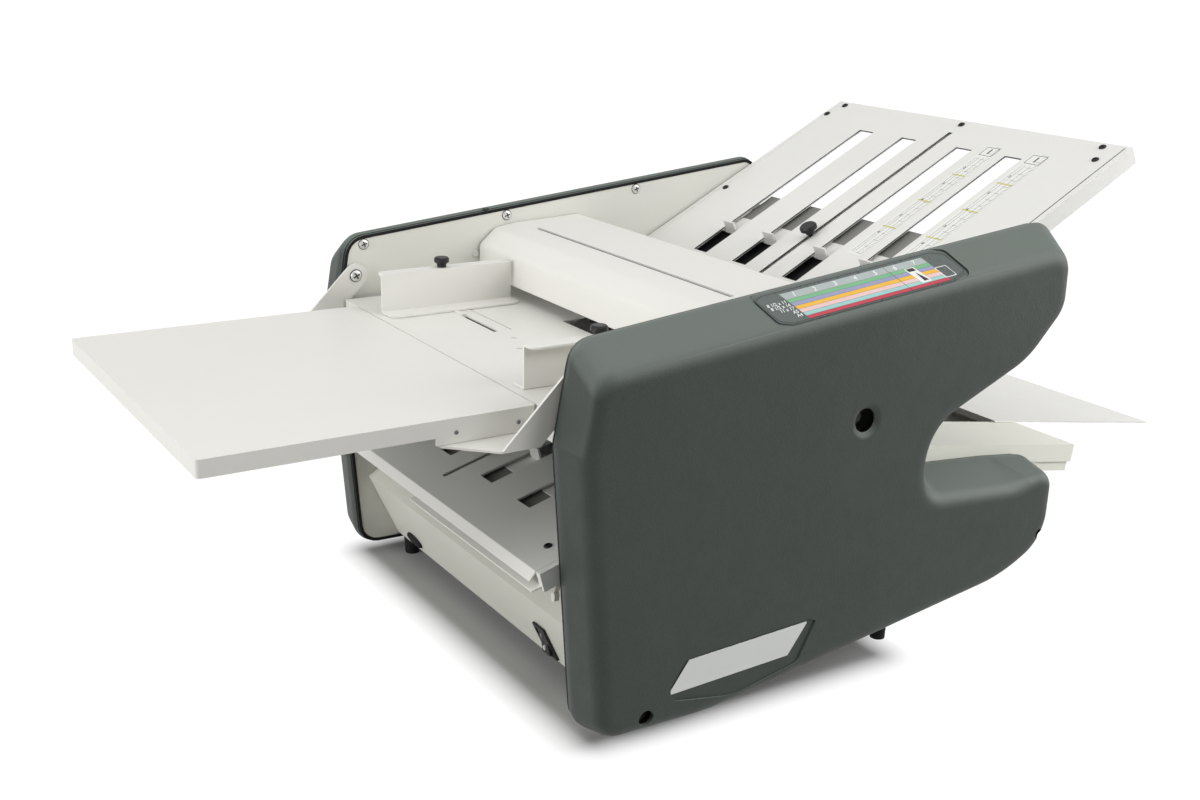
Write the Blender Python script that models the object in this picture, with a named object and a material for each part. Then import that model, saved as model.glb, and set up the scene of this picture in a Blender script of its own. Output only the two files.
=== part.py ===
"""Tabletop paper folding machine, modelled in metres with +Z up.

Paper runs along +X, from the feed tables at the left, through the fold rollers, to the exit
bed at the right. Y crosses the machine, and the near side is -Y. Places are measured from a
datum corner, where the covers' top edge would meet their front edge, and the finished frame
has its origin under the middle of the machine, on the surface that it stands on.
"""
import math

import bmesh
import bpy
from mathutils import Matrix, Vector

# Shared sizes
GAP = 0.0003
CUT_OVERRUN = 0.002
SHEET = 0.0015
PLATE_INNER_Y = 0.178
PLATE_T = 0.002
DATUM_HEIGHT = 0.289
ROUND_SEGMENTS = 20
CORNER_SEGMENTS = 5
# The most of an edge that the rounding of one of its corners may take
CUT_SHARE = 0.48

# Side covers: the rim's box, and its corners as shares of that box
COVER_FRONT_X = -0.0175
COVER_LENGTH = 0.4445
COVER_BOTTOM_Z = -0.2805
COVER_HEIGHT = 0.3261
COVER_CORNER_SHARES = (
    (0.027, 0.861), (0.000, 0.647), (0.040, 0.005), (0.253, 0.000), (0.894, 0.123),
    (1.009, 0.202), (1.009, 0.405), (0.900, 0.4235), (0.686, 0.448), (0.693, 0.563),
    (0.908, 0.686), (1.000, 0.820), (0.995, 1.000),
)
COVER_RADIUS_SHARES = (0.045, 0.05, 0.045, 0.40, 0.30, 0.09, 0.03, 0.20, 0.055, 0.09, 0.16, 0.06, 0.04)
# The ridge round the outer face has a corner for each of the rim's
RIDGE_CORNER_SHARES = (
    (0.030, 0.806), (0.010, 0.646), (0.049, 0.019), (0.252, 0.014), (0.904, 0.136),
    (1.008, 0.208), (1.008, 0.3987), (0.9213, 0.3665), (0.6815, 0.393), (0.692, 0.564),
    (0.907, 0.687), (0.985, 0.800), (0.981, 0.9425),
)
FRONT_EDGES = 2
COVER_DEPTH = 0.036
COVER_WALL = 0.003
RIDGE_DEPTH = 0.0345
RIDGE_FRONT_DEPTH = 0.034
FACE_INSET = 0.012
EDGE_DEPTH = 0.006
EDGE_INSET = 0.0015
RIM_TO_PLATE = 0.005
SEAL_WIDTH = 0.0026
SEAL_PROUD = 0.0006
HAND_HOLE_R = 0.0085
HAND_DISH_R = 0.015
HAND_DISH_DEPTH = 0.0018
BORE_SEGMENTS = 14
RECESS_HOLE_R = 0.0045
RECESS_SHARES = ((0.131, 0.048), (0.985, 0.228))
BOSS_R = 0.005
BOSS_REACH = 0.014

# Screws that hold the covers, spaced along the plates' top edge
COVER_SCREW_X = 0.0105
COVER_SCREW_PITCH = 0.136
COVER_SCREW_COUNT = 3
COVER_SCREW_DROP = 0.0095

# Feed surface and its two tables
FEED_Z = -0.0516
TABLE_FRONT_X = -0.0093
TABLE_BEND_X = 0.165
TABLE_END_X = 0.199
TABLE_END_DROP = 0.0159
TABLE_HALF = 0.172
TABLE_SKIRT = 0.0204
RAIL_T = 0.0015
RAIL_X0 = 0.014
SPACER_R = 0.005
SPACER_SHARES = (0.25, 0.60)
SHAFT_HOLE_CLEAR = 0.001
SPACER_DROP = 0.012
ROLLER_OPENING_X0 = 0.117
ROLLER_OPENING_X1 = 0.157
ROLLER_OPENING_HALF = 0.031
SLOT_X = 0.0545
SLOT_W = 0.0044
SLOT_Y0 = 0.026
SLOT_Y1 = 0.168
FINE_SLOT_X = 0.068
FINE_SLOT_W = 0.0012
FINE_SLOT_Y1 = 0.100

EXT_FREE_X = -0.2366
EXT_HALF = 0.148
EXT_DEPTH = 0.017
EXT_EDGE_DEPTH = 0.0118
EXT_STEP_X = -0.083
EXT_SEAM = 0.0009
EXT_CORNER_R = 0.003
PIVOT_X = 0.001
PIVOT_Z = -0.0326
ARM_HALF_W = 0.010
ARM_Y = 0.1736
ARM_T = 0.002
ARM_FOOT_X = -0.080
ARM_TAB_H = 0.012
PIVOT_R = 0.003
PIVOT_HEAD_R = 0.0048
PIVOT_HEAD_T = 0.0022

# Paper guides
GUIDE_Y = 0.1148
GUIDE_X0 = -0.0018
GUIDE_X1 = 0.1158
GUIDE_H = 0.0320
GUIDE_T = 0.0015
GUIDE_TOP_FLANGE = 0.0125
GUIDE_FOOT_FLANGE = 0.0195
GUIDE_CORNER_R = 0.008
TONGUE_LENGTH = 0.014
TONGUE_DEPTH = 0.0045
KNOB_R = 0.00625
KNOB_NECK_R = 0.0038
KNOB_NECK_H = 0.0022
KNOB_HEAD_H = 0.0058
STUD_R = 0.0016
CLAMP_R = 0.005
CLAMP_T = 0.003

# Fold rollers, all of one radius, placed from roller 2
ROLLER_R = 0.013
ROLLER_NIP = 0.0006
ROLLER_2_X = 0.221
ROLLER_2_Z = -0.079
EXIT_NIP_LEAN_DEG = 8.0
ROLLER_HALF = 0.168
JOURNAL_R = 0.004
GEAR_TEETH = 20
GEAR_T = 0.007
GEAR_SIDE_GAP = 0.0038
SHAFT_END = 0.014
TOOTH_DEPTH_SHARE = 0.16
TOOTH_TIP_SHARE = 0.15
TOOTH_ROOT_SHARE = 0.27
BUSH_R = 0.0069
BEARING_T = 0.0020
BEARING_MARGIN = 0.012

# Feed roller and separator
FEED_ROLLER_R = 0.0175
FEED_ROLLER_X = 0.137
FEED_ROLLER_PROUD = 0.0012
FEED_ROLLER_HALF = 0.028
SEPARATOR_BAR_R = 0.004
SEPARATOR_BAR_Z = -0.022
HOLDER_RISE = 0.007
HOLDER_HALF = 0.012
HOLDER_THICK = 0.012
PAD_T = 0.003
PAD_CLEAR = 0.0008

# Drive on the far side
PULLEY_LAYER = 0.008
FEED_PULLEY_R = 0.012
DRIVE_PULLEY_R = 0.024
MOTOR_PULLEY_R = 0.010
BELT_T = 0.002
MOTOR_X = 0.150
MOTOR_Z = -0.213
MOTOR_R = 0.034
MOTOR_LENGTH = 0.105
MOTOR_BORE_DEPTH = 0.020
MOTOR_BOSS_R = 0.011

# Roller hood: its outline as shares of its length and height
HOOD_FRONT_X = 0.119
HOOD_LENGTH = 0.107
HOOD_BOTTOM_Z = -0.042
HOOD_HEIGHT = 0.045
HOOD_OUTLINE_SHARES = (
    (0.0, 0.0), (1.0, 0.49), (1.0, 0.88), (0.944, 1.0), (0.31, 0.929), (0.14, 0.862), (0.0, 0.567),
)
HOOD_RADIUS_SHARES = (0.01, 0.01, 0.04, 0.06, 0.30, 0.10, 0.06)
HOOD_EAR_SHARES = (
    (0.80, 0.43), (0.86, 0.31), (0.98, 0.31), (0.997, 0.42), (0.997, 0.88), (0.944, 0.99), (0.80, 0.97),
)
HOOD_HALF = 0.1765
HOOD_SLOT_X = 0.159
HOOD_SLOT_W = 0.0046
HOOD_SLOT_Y0 = -0.133
HOOD_SLOT_Y1 = 0.145
HOOD_PIVOT_X = 0.219
HOOD_PIVOT_Z = -0.022
HOOD_PIN_R = 0.003

# Fold tables: both have the same plates, windows, rails and stop
FOLD_T = 0.0012
FOLD_THROAT = 0.0014
FOLD_HALF = 0.170
FOLD_RAIL_OUT = 0.1755
FOLD_RAIL_H = 0.0145
FOLD_WINDOW_START = 0.0398
FOLD_WINDOW_W = 0.0185
FOLD_WINDOW_YS = (0.096, 0.0395, -0.0285, -0.085)
FOLD_SLOT_Y = 0.0055
FOLD_SLOT_W = 0.0046
LOWER_WINDOW_EXTRA = 0.003
FOLD_TIE_R = 0.005
STOP_REACH = 0.0225
STOP_HALF = 0.110
STOP_CARRIER = 0.038
STOP_HOOK_W = 0.0150
STOP_HOOK_H = 0.0075
STOP_KNOB_BACK = 0.0195
STOP_KNOB_RISE = 0.0025
STOP_KNOB_R = 0.0075

UPPER_TIP_X = 0.5226
UPPER_TIP_Z = 0.0934
UPPER_ANGLE_DEG = 27.4
UPPER_LENGTH = 0.325
UPPER_WINDOW_LENGTH = 0.2124
UPPER_STOP_U = 0.2150
UPPER_TIE_US = (0.160, 0.250)
GUARD_U0 = 0.206
GUARD_U1 = 0.262
GUARD_W = 0.0092

LOWER_TIP_X = -0.0217
LOWER_TIP_Z = -0.1597
LOWER_ANGLE_DEG = 16.0
LOWER_LENGTH = 0.2385
LOWER_WINDOW_LENGTH = 0.185
LOWER_STOP_U = 0.085
LOWER_TIE_US = (0.100, 0.205)
LIP_LENGTH = 0.0079
LIP_BEND_DEG = 37.0
SHELF_U0 = -0.0075
SHELF_U1 = 0.030
SHELF_END_Y = 0.016
SHELF_W = 0.0106

# Exit bed and tray
BED_ANGLE_DEG = 9.1
BED_END_X = 0.498
BED_END_Z = -0.1543
BED_LENGTH = 0.240
BED_SKIRT = 0.015
BED_STEP_IN = 0.002
BED_STEP_H = 0.0085
BED_WINDOW_X0 = 0.328
BED_WINDOW_X1 = 0.473
BED_WINDOW_HALF = 0.110
TRAY_TIP_X = 0.682
TRAY_HALF = 0.112
TRAY_T = 0.0012
TRAY_LIP = 0.004

# Base pan, switch, bushing and feet
PANEL_X = 0.0102
PANEL_Z = -0.214
PANEL_LEAN_DEG = 25.1
PANEL_LENGTH = 0.0637
FLANGE_LENGTH = 0.030
FLANGE_ANGLE_DEG = 33.0
PAN_RISE = 0.0085
PAN_BACK_IN = 0.012
PAN_BACK_H = 0.036
SWITCH_Y = -0.102
SWITCH_V = 0.0435
BEZEL_HALF_U = 0.00775
BEZEL_HALF_V = 0.0155
BEZEL_LIP = 0.0014
BEZEL_RIM = 0.0022
BEZEL_WALL = 0.001
BEZEL_DEPTH = 0.018
ROCKER_TILT_DEG = 9.0
ROCKER_PIVOT_W = -0.0040
ROCKER_HALF_V = 0.0112
ROCKER_TIP_W = 0.0033
ROCKER_MIDDLE_W = 0.0022
ROCKER_DEPTH = 0.0090
BUSHING_Y = 0.131
BUSHING_V = 0.0527
BUSHING_HALF_U = 0.0128
BUSHING_HALF_V = 0.007
BUSHING_NECK_R = 0.0055
BUSHING_NECK_DEPTH = 0.0045
BUSHING_PROUD = 0.0022
BUSHING_EDGE = 0.0012
FOOT_R = 0.0072
FOOT_TAPER = 0.0012
FOOT_XS = (0.046, 0.300)
FOOT_Y = 0.1665

# Recess of the bare name plate in the near cover
NAME_RECESS_SHARES = (
    (0.445, 0.176), (0.462, 0.166), (0.428, 0.074), (0.300, 0.040), (0.160, 0.075), (0.200, 0.160),
)
NAME_RECESS_DEPTH = 0.0014

# Values that follow from the sizes above
PLATE_OUTER_Y = PLATE_INNER_Y + PLATE_T
NEAR = -1.0
FAR = 1.0
SIDES = (NEAR, FAR)
ROLLER_PITCH = 2.0 * ROLLER_R + ROLLER_NIP
BED_ANGLE = math.radians(BED_ANGLE_DEG)
UPPER_ANGLE = math.radians(UPPER_ANGLE_DEG)
LOWER_ANGLE = math.radians(LOWER_ANGLE_DEG)
PANEL_LEAN = math.radians(PANEL_LEAN_DEG)
MIDDLE_X = (EXT_FREE_X + TRAY_TIP_X) / 2.0
TO_ORIGIN = Vector((-MIDDLE_X, 0.0, DATUM_HEIGHT))

MATERIALS = {
    "cream": ((0.80, 0.80, 0.76), 0.45, 0.0),
    "cover": ((0.060, 0.075, 0.068), 0.50, 0.0),
    "rubber": ((0.012, 0.012, 0.013), 0.75, 0.0),
    "black": ((0.015, 0.015, 0.016), 0.35, 0.0),
    "steel": ((0.55, 0.56, 0.56), 0.30, 1.0),
    "gear": ((0.70, 0.69, 0.62), 0.50, 0.0),
}


# The frame in which each object was made, so that its cutters can be made in it too
made_in = {}


def material(name):
    """Return the named Principled material, made the first time it is asked for."""
    found = bpy.data.materials.get(name)
    if found:
        return found
    colour, roughness, metallic = MATERIALS[name]
    made = bpy.data.materials.new(name)
    made.use_nodes = True
    shader = made.node_tree.nodes["Principled BSDF"]
    shader.inputs["Base Color"].default_value = (*colour, 1.0)
    shader.inputs["Roughness"].default_value = roughness
    shader.inputs["Metallic"].default_value = metallic
    return made


def add_object(name, mesh_data, place, material_name, smooth=False, origin=None):
    """Link one object made in the frame place. A moving piece gets its origin on its joint's axis.

    The mesh of a mirrored frame is turned into world directions, with its faces flipped back.
    """
    world = Matrix.Translation(TO_ORIGIN) @ place
    home = world
    if origin is not None or world.determinant() < 0.0:
        home = Matrix.Translation(TO_ORIGIN + Vector(origin or (0.0, 0.0, 0.0)))
        mesh_data.transform(home.inverted() @ world)
    if world.determinant() < 0.0:
        mesh_data.flip_normals()
    obj = bpy.data.objects.new(name, mesh_data)
    bpy.context.scene.collection.objects.link(obj)
    obj.matrix_world = home
    made_in[name] = place
    if material_name:
        mesh_data.materials.append(material(material_name))
    if smooth:
        mesh_data.shade_smooth()
        mesh_data.set_sharp_from_angle(angle=math.radians(35.0))
    return obj


def frame_at(origin, u_axis, v_axis):
    """Return the matrix of a right-handed frame with the given origin and first two axes."""
    u = Vector(u_axis).normalized()
    v = Vector(v_axis).normalized()
    w = u.cross(v)
    return Matrix((
        (u.x, v.x, w.x, origin[0]), (u.y, v.y, w.y, origin[1]),
        (u.z, v.z, w.z, origin[2]), (0.0, 0.0, 0.0, 1.0),
    ))


def side_frame(side, y=PLATE_OUTER_Y):
    """Frame of a side: u is X, v is Z, and w points out of the machine on that side."""
    if side == NEAR:
        return frame_at((0.0, -y, 0.0), (1, 0, 0), (0, 0, 1))
    frame = frame_at((0.0, y, 0.0), (1, 0, 0), (0, 0, 1))
    frame[1][2] = 1.0
    return frame


def shaft_frame(x, z):
    """Frame of a shaft across the machine: w runs along +Y through the point x, z."""
    return frame_at((x, 0.0, z), (0, 0, 1), (1, 0, 0))


def turn(direction, degrees):
    """Turn a direction in the X Z plane, anticlockwise with X to the right and Z up."""
    angle = math.radians(degrees)
    x, z = direction
    return (x * math.cos(angle) - z * math.sin(angle), x * math.sin(angle) + z * math.cos(angle))


def corner_points(corners, radii, segments=CORNER_SEGMENTS):
    """Round each corner of a closed outline by its radius, with the same steps at each."""
    points = []
    count = len(corners)
    for index, corner in enumerate(corners):
        here = Vector(corner)
        back = Vector(corners[index - 1]) - here
        ahead = Vector(corners[(index + 1) % count]) - here
        opening = back.angle(ahead)
        cut = radii[index] / math.tan(opening / 2.0)
        cut = min(cut, CUT_SHARE * back.length, CUT_SHARE * ahead.length)
        radius = cut * math.tan(opening / 2.0)
        inward = (back.normalized() + ahead.normalized()).normalized()
        middle = here + inward * radius / math.sin(opening / 2.0)
        start = here + back.normalized() * cut - middle
        end = here + ahead.normalized() * cut - middle
        sweep = math.atan2(start.x * end.y - start.y * end.x, start.dot(end))
        for step in range(segments + 1):
            angle = sweep * step / segments
            points.append((
                middle.x + start.x * math.cos(angle) - start.y * math.sin(angle),
                middle.y + start.x * math.sin(angle) + start.y * math.cos(angle),
            ))
    return points


def inset_corners(corners, insets):
    """Move each edge of an anticlockwise outline inward by its inset and return the new corners."""
    count = len(corners)
    moved = []
    for index in range(count):
        here = Vector(corners[index])
        before = (here - Vector(corners[index - 1])).normalized()
        after = (Vector(corners[(index + 1) % count]) - here).normalized()
        in_before = Vector((-before.y, before.x)) * insets[index - 1]
        in_after = Vector((-after.y, after.x)) * insets[index]
        cross = before.x * after.y - before.y * after.x
        along = (in_after - in_before).cross(after) / cross if abs(cross) > 0.02 else 0.0
        moved.append(tuple(here + in_before + before * along))
    return moved


def inset_radii(corners, radii, inset):
    """Shrink the radii of convex corners and grow those of hollow ones by the inset."""
    found = []
    count = len(corners)
    for index in range(count):
        here = Vector(corners[index])
        before = here - Vector(corners[index - 1])
        after = Vector(corners[(index + 1) % count]) - here
        sign = 1.0 if before.cross(after) > 0.0 else -1.0
        found.append(max(radii[index] - sign * inset, 0.25 * radii[index]))
    return found


def rectangle(u0, u1, v0, v1):
    """Corners of an anticlockwise rectangle."""
    return [(u0, v0), (u1, v0), (u1, v1), (u0, v1)]


def rounded_rectangle(u0, u1, v0, v1, radius, segments=CORNER_SEGMENTS):
    """Outline of a rectangle with round corners."""
    return corner_points(rectangle(u0, u1, v0, v1), [radius] * 4, segments)


def circle(radius, u=0.0, v=0.0, segments=ROUND_SEGMENTS):
    """Points of a circle, anticlockwise."""
    steps = (2.0 * math.pi * index / segments for index in range(segments))
    return [(u + radius * math.cos(angle), v + radius * math.sin(angle)) for angle in steps]


def sheet_outline(path, thickness):
    """Closed outline of a bent sheet, whose thickness lies to the left of its path."""
    count = len(path)
    inner = []
    for index in range(count):
        here = Vector(path[index])
        before = (here - Vector(path[index - 1])).normalized() if index else None
        after = (Vector(path[index + 1]) - here).normalized() if index < count - 1 else None
        before = before or after
        after = after or before
        normal_before = Vector((-before.y, before.x))
        normal_after = Vector((-after.y, after.x))
        mitre = normal_before + normal_after
        inner.append(tuple(here + mitre * thickness / mitre.dot(normal_before)))
    return list(path) + inner[::-1]


def loft(loops, capped=True):
    """Mesh whose side runs through equal closed loops of 3-D points, capped at both ends or a ring."""
    mesh = bmesh.new()
    rows = [[mesh.verts.new(point) for point in loop] for loop in loops]
    pairs = list(zip(rows, rows[1:]))
    if not capped:
        pairs.append((rows[-1], rows[0]))
    for low, high in pairs:
        for index in range(len(low)):
            following = (index + 1) % len(low)
            mesh.faces.new((low[index], low[following], high[following], high[index]))
    if capped:
        mesh.faces.new(rows[0][::-1])
        mesh.faces.new(rows[-1])
    bmesh.ops.recalc_face_normals(mesh, faces=mesh.faces)
    return mesh


def finish(mesh):
    """Turn a bmesh into mesh data."""
    data = bpy.data.meshes.new("shape")
    mesh.to_mesh(data)
    mesh.free()
    return data


def join(meshes):
    """Join several bmeshes of separate bodies into one mesh."""
    whole = bmesh.new()
    for mesh in meshes:
        data = finish(mesh)
        whole.from_mesh(data)
        bpy.data.meshes.remove(data)
    return finish(whole)


def lift(outline, w):
    """Give an outline the height w."""
    return [(u, v, w) for u, v in outline]


def prism(outline, w0, w1):
    """Solid of an outline between two heights."""
    return loft([lift(outline, w0), lift(outline, w1)])


def ring(outer, inner, w0, w1):
    """Solid between two outlines with as many points each."""
    return loft([lift(outer, w0), lift(outer, w1), lift(inner, w1), lift(inner, w0)], capped=False)


def box(u0, u1, v0, v1, w0, w1):
    """Solid block."""
    return prism(rectangle(u0, u1, v0, v1), w0, w1)


def turned(profile, u=0.0, v=0.0, segments=ROUND_SEGMENTS):
    """Solid turned about w from a profile of radius and height whose ends lie off the axis."""
    return loft([lift(circle(radius, u, v, segments), height) for radius, height in profile])


def turned_ring(profile, u=0.0, v=0.0, segments=ROUND_SEGMENTS):
    """Ring turned about w from a closed profile of radius and height."""
    return loft([lift(circle(radius, u, v, segments), height) for radius, height in profile], capped=False)


def boolean(obj, meshes, operation, place=None):
    """Cut bodies from an object, or join them to it, with one hidden helper object."""
    frame = made_in[obj.name] if place is None else place
    helper = add_object(obj.name + "_" + operation.lower(), join(meshes), frame, None)
    helper.hide_render = True
    helper.display_type = "WIRE"
    modifier = obj.modifiers.new(operation.lower(), "BOOLEAN")
    modifier.operation = operation
    modifier.solver = "EXACT"
    modifier.object = helper


def on_cover(shares):
    """X and Z of places given as shares of the covers' length and height."""
    return [
        (COVER_FRONT_X + x_share * COVER_LENGTH, COVER_BOTTOM_Z + z_share * COVER_HEIGHT)
        for x_share, z_share in shares
    ]


def cover_corners():
    """Corners of the covers' rim in X and Z."""
    return on_cover(COVER_CORNER_SHARES)


def cover_radii():
    """Radii of the covers' rim corners."""
    return [share * COVER_LENGTH for share in COVER_RADIUS_SHARES]


def rim_outline(inset, segments=CORNER_SEGMENTS):
    """The covers' rim moved inward by an inset, rounded."""
    corners = cover_corners()
    moved = inset_corners(corners, [inset] * len(corners))
    return corner_points(moved, inset_radii(corners, cover_radii(), inset), segments)


def ridge_loop(extra_inset, depth_share, depth_offset):
    """The loop of the covers' ridge, moved in and out by the given amounts, as 3-D points."""
    corners = on_cover(RIDGE_CORNER_SHARES)
    moved = inset_corners(corners, [extra_inset] * len(corners))
    outline = corner_points(moved, inset_radii(corners, cover_radii(), extra_inset))
    points = []
    for index, (x, z) in enumerate(outline):
        corner = index // (CORNER_SEGMENTS + 1)
        step = (index % (CORNER_SEGMENTS + 1)) / CORNER_SEGMENTS
        front_before = 0 < corner <= FRONT_EDGES
        front_after = corner < FRONT_EDGES
        frontness = (1.0 - step) * front_before + step * front_after
        ridge = RIDGE_DEPTH + (RIDGE_FRONT_DEPTH - RIDGE_DEPTH) * frontness
        depth = ridge + (COVER_DEPTH - ridge) * depth_share
        points.append((x, z, depth + depth_offset))
    return points


def top_edge_z(x):
    """Height of the covers' top edge at a place along X."""
    front = cover_corners()[0]
    back = cover_corners()[-1]
    return front[1] + (back[1] - front[1]) * (x - front[0]) / (back[0] - front[0])


def side_cover(side):
    """Hollow moulded side cover: rim, sloped shoulder, soft ridge and a nearly flat face."""
    loops = [
        ridge_loop(FACE_INSET + COVER_WALL, 1.0, -COVER_WALL),
        ridge_loop(COVER_WALL, 0.0, -COVER_WALL),
        lift(rim_outline(COVER_WALL), GAP),
        lift(rim_outline(EDGE_INSET), GAP),
        lift(rim_outline(0.0), EDGE_DEPTH),
        ridge_loop(0.0, 0.0, 0.0),
        ridge_loop(FACE_INSET, 1.0, 0.0),
    ]
    name = "cover_near" if side == NEAR else "cover_far"
    obj = add_object(name, finish(loft(loops)), side_frame(side), "cover", smooth=True)
    bosses = [
        prism(circle(BOSS_R, x, z, BORE_SEGMENTS), GAP, BOSS_REACH) for x, z in cover_screw_places()
    ]
    boolean(obj, bosses, "UNION")
    holes = [
        prism(circle(RECESS_HOLE_R, x, z, BORE_SEGMENTS), COVER_DEPTH / 2.0, COVER_DEPTH + CUT_OVERRUN)
        for x, z in on_cover(RECESS_SHARES)
    ]
    if side == NEAR:
        holes.append(turned([
            (HAND_HOLE_R, COVER_DEPTH / 2.0), (HAND_HOLE_R, COVER_DEPTH - HAND_DISH_DEPTH),
            (HAND_DISH_R, COVER_DEPTH + GAP), (HAND_DISH_R, COVER_DEPTH + CUT_OVERRUN),
        ], ROLLER_2_X, ROLLER_2_Z))
        recess = on_cover(NAME_RECESS_SHARES)
        holes.append(prism(recess, COVER_DEPTH - NAME_RECESS_DEPTH, COVER_DEPTH + CUT_OVERRUN))
    boolean(obj, holes, "DIFFERENCE")


def cover_screw_places():
    """X and Z of the screws that hold a cover."""
    xs = [COVER_SCREW_X + index * COVER_SCREW_PITCH for index in range(COVER_SCREW_COUNT)]
    return [(x, top_edge_z(x) - COVER_SCREW_DROP) for x in xs]


def edge_seal(side):
    """Black edge trim between a side frame and its cover."""
    outer = rim_outline(RIM_TO_PLATE - GAP - SEAL_WIDTH)
    inner = rim_outline(RIM_TO_PLATE - GAP)
    name = "edge_seal_near" if side == NEAR else "edge_seal_far"
    mesh = ring(outer, inner, -PLATE_T - SEAL_PROUD, 0.0)
    add_object(name, finish(mesh), side_frame(side), "rubber")


def roller_centres():
    """X and Z of the four fold rollers, each a pitch from the one that it meets."""
    second = Vector((ROLLER_2_X, ROLLER_2_Z))
    first = second + Vector(turn((0.0, 1.0), UPPER_ANGLE_DEG)) * ROLLER_PITCH
    third = second + Vector(turn((0.0, -1.0), LOWER_ANGLE_DEG)) * ROLLER_PITCH
    fourth = third + Vector(turn((0.0, -1.0), EXIT_NIP_LEAN_DEG)) * ROLLER_PITCH
    return [tuple(centre) for centre in (first, second, third, fourth)]


def feed_roller_centre():
    """X and Z of the feed roller, whose top stands just proud of the feed table."""
    return (FEED_ROLLER_X, FEED_Z + FEED_ROLLER_PROUD - FEED_ROLLER_R)


def side_frame_plate(side):
    """Cream sheet side frame, bored for the bushes and the motor."""
    name = "side_frame_near" if side == NEAR else "side_frame_far"
    mesh = prism(rim_outline(RIM_TO_PLATE), -PLATE_T, 0.0)
    obj = add_object(name, finish(mesh), side_frame(side), "cream")
    holes = [(BUSH_R, x, z) for x, z in roller_centres() + [feed_roller_centre()]]
    holes.append((HOOD_PIN_R, HOOD_PIVOT_X, HOOD_PIVOT_Z))
    if side == FAR:
        holes.append((MOTOR_BOSS_R, MOTOR_X, MOTOR_Z))
    bores = [
        prism(circle(radius + GAP, x, z), -PLATE_T - CUT_OVERRUN, CUT_OVERRUN) for radius, x, z in holes
    ]
    boolean(obj, bores, "DIFFERENCE")


def bearing_plate(side):
    """Plate on the outer face of a side frame, with a bush in it for each shaft."""
    name = "bearing_plate_near" if side == NEAR else "bearing_plate_far"
    first, second, third, fourth = roller_centres()
    corners = [feed_roller_centre(), fourth, third, second, first]
    outline = corner_points(
        inset_corners(corners, [-BEARING_MARGIN] * len(corners)), [BEARING_MARGIN] * len(corners), 4)
    plate = finish(prism(outline, GAP, GAP + BEARING_T))
    obj = add_object(name, plate, side_frame(side), "steel", smooth=True)
    tubes = [prism(circle(BUSH_R, x, z), -PLATE_T, GAP + BEARING_T / 2.0) for x, z in corners]
    bores = [
        prism(circle(JOURNAL_R + GAP, x, z), -PLATE_T - CUT_OVERRUN, BEARING_T + CUT_OVERRUN)
        for x, z in corners
    ]
    for tube in tubes:
        boolean(obj, [tube], "UNION")
    boolean(obj, bores, "DIFFERENCE")


def gear_phases():
    """Angle of a tooth on each roller's gear, so that the four are in mesh."""
    pitch = 2.0 * math.pi / GEAR_TEETH
    centres = roller_centres()
    phases = [0.0] * len(centres)
    for driver, driven in ((1, 0), (1, 2), (2, 3)):
        line = Vector(centres[driven]) - Vector(centres[driver])
        angle = math.atan2(line.y, line.x)
        phases[driven] = 2.0 * angle + math.pi + pitch / 2.0 - phases[driver]
    return phases


def gear_outline(phase):
    """Outline of a gear with straight-sided teeth."""
    root = ROLLER_PITCH / 2.0 * (1.0 - TOOTH_DEPTH_SHARE / 2.0)
    tip = ROLLER_PITCH / 2.0 * (1.0 + TOOTH_DEPTH_SHARE / 2.4)
    pitch = 2.0 * math.pi / GEAR_TEETH
    points = []
    for tooth in range(GEAR_TEETH):
        middle = phase + tooth * pitch
        for radius, share in ((root, -TOOTH_ROOT_SHARE), (tip, -TOOTH_TIP_SHARE),
                              (tip, TOOTH_TIP_SHARE), (root, TOOTH_ROOT_SHARE)):
            points.append((radius, middle + share * pitch))
    return points


def roller_gear(number):
    """Gear on the near end of a fold roller."""
    polar = gear_outline(gear_phases()[number - 1])
    outer = [(radius * math.cos(angle), radius * math.sin(angle)) for radius, angle in polar]
    bore = JOURNAL_R + GAP
    inner = [(bore * math.cos(angle), bore * math.sin(angle)) for _, angle in polar]
    x, z = roller_centres()[number - 1]
    place = side_frame(NEAR) @ Matrix.Translation((x, z, 0.0))
    mesh = ring(outer, inner, GEAR_SIDE_GAP, GEAR_SIDE_GAP + GEAR_T)
    add_object("roller_gear_%d" % number, finish(mesh), place, "gear")


def fold_roller(number):
    """Fold roller with its journals, which end in the gear and, on roller 2, the pulleys."""
    x, z = roller_centres()[number - 1]
    near_end = PLATE_OUTER_Y + GEAR_SIDE_GAP + GEAR_T + GAP
    far_end = PLATE_OUTER_Y + BEARING_T + GAP
    if number == 2:
        near_end += SHAFT_END
        far_end = pulley_y(2) + GAP
    half = ROLLER_HALF
    mesh = turned([
        (JOURNAL_R, -near_end), (JOURNAL_R, -half), (ROLLER_R, -half),
        (ROLLER_R, half), (JOURNAL_R, half), (JOURNAL_R, far_end),
    ])
    add_object("fold_roller_%d" % number, finish(mesh), shaft_frame(x, z), "rubber", smooth=True)


def pulley_y(layer):
    """Y at which a layer of pulleys on the far side begins."""
    return PLATE_OUTER_Y + BEARING_T + 0.001 + layer * (PULLEY_LAYER + 0.001)


def feed_roller():
    """Rubber feed roller on its steel shaft, which reaches the feed pulley."""
    x, z = feed_roller_centre()
    bore = JOURNAL_R + GAP
    tyre = turned_ring([
        (bore, -FEED_ROLLER_HALF), (FEED_ROLLER_R, -FEED_ROLLER_HALF),
        (FEED_ROLLER_R, FEED_ROLLER_HALF), (bore, FEED_ROLLER_HALF),
    ], segments=28)
    add_object("feed_roller", finish(tyre), shaft_frame(x, z), "rubber", smooth=True)
    shaft = turned([(JOURNAL_R, -PLATE_OUTER_Y - BEARING_T), (JOURNAL_R, pulley_y(0))] + pulley_steps(
        (FEED_PULLEY_R, 0)))
    add_object("feed_shaft", finish(shaft), shaft_frame(x, z), "steel", smooth=True)


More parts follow.
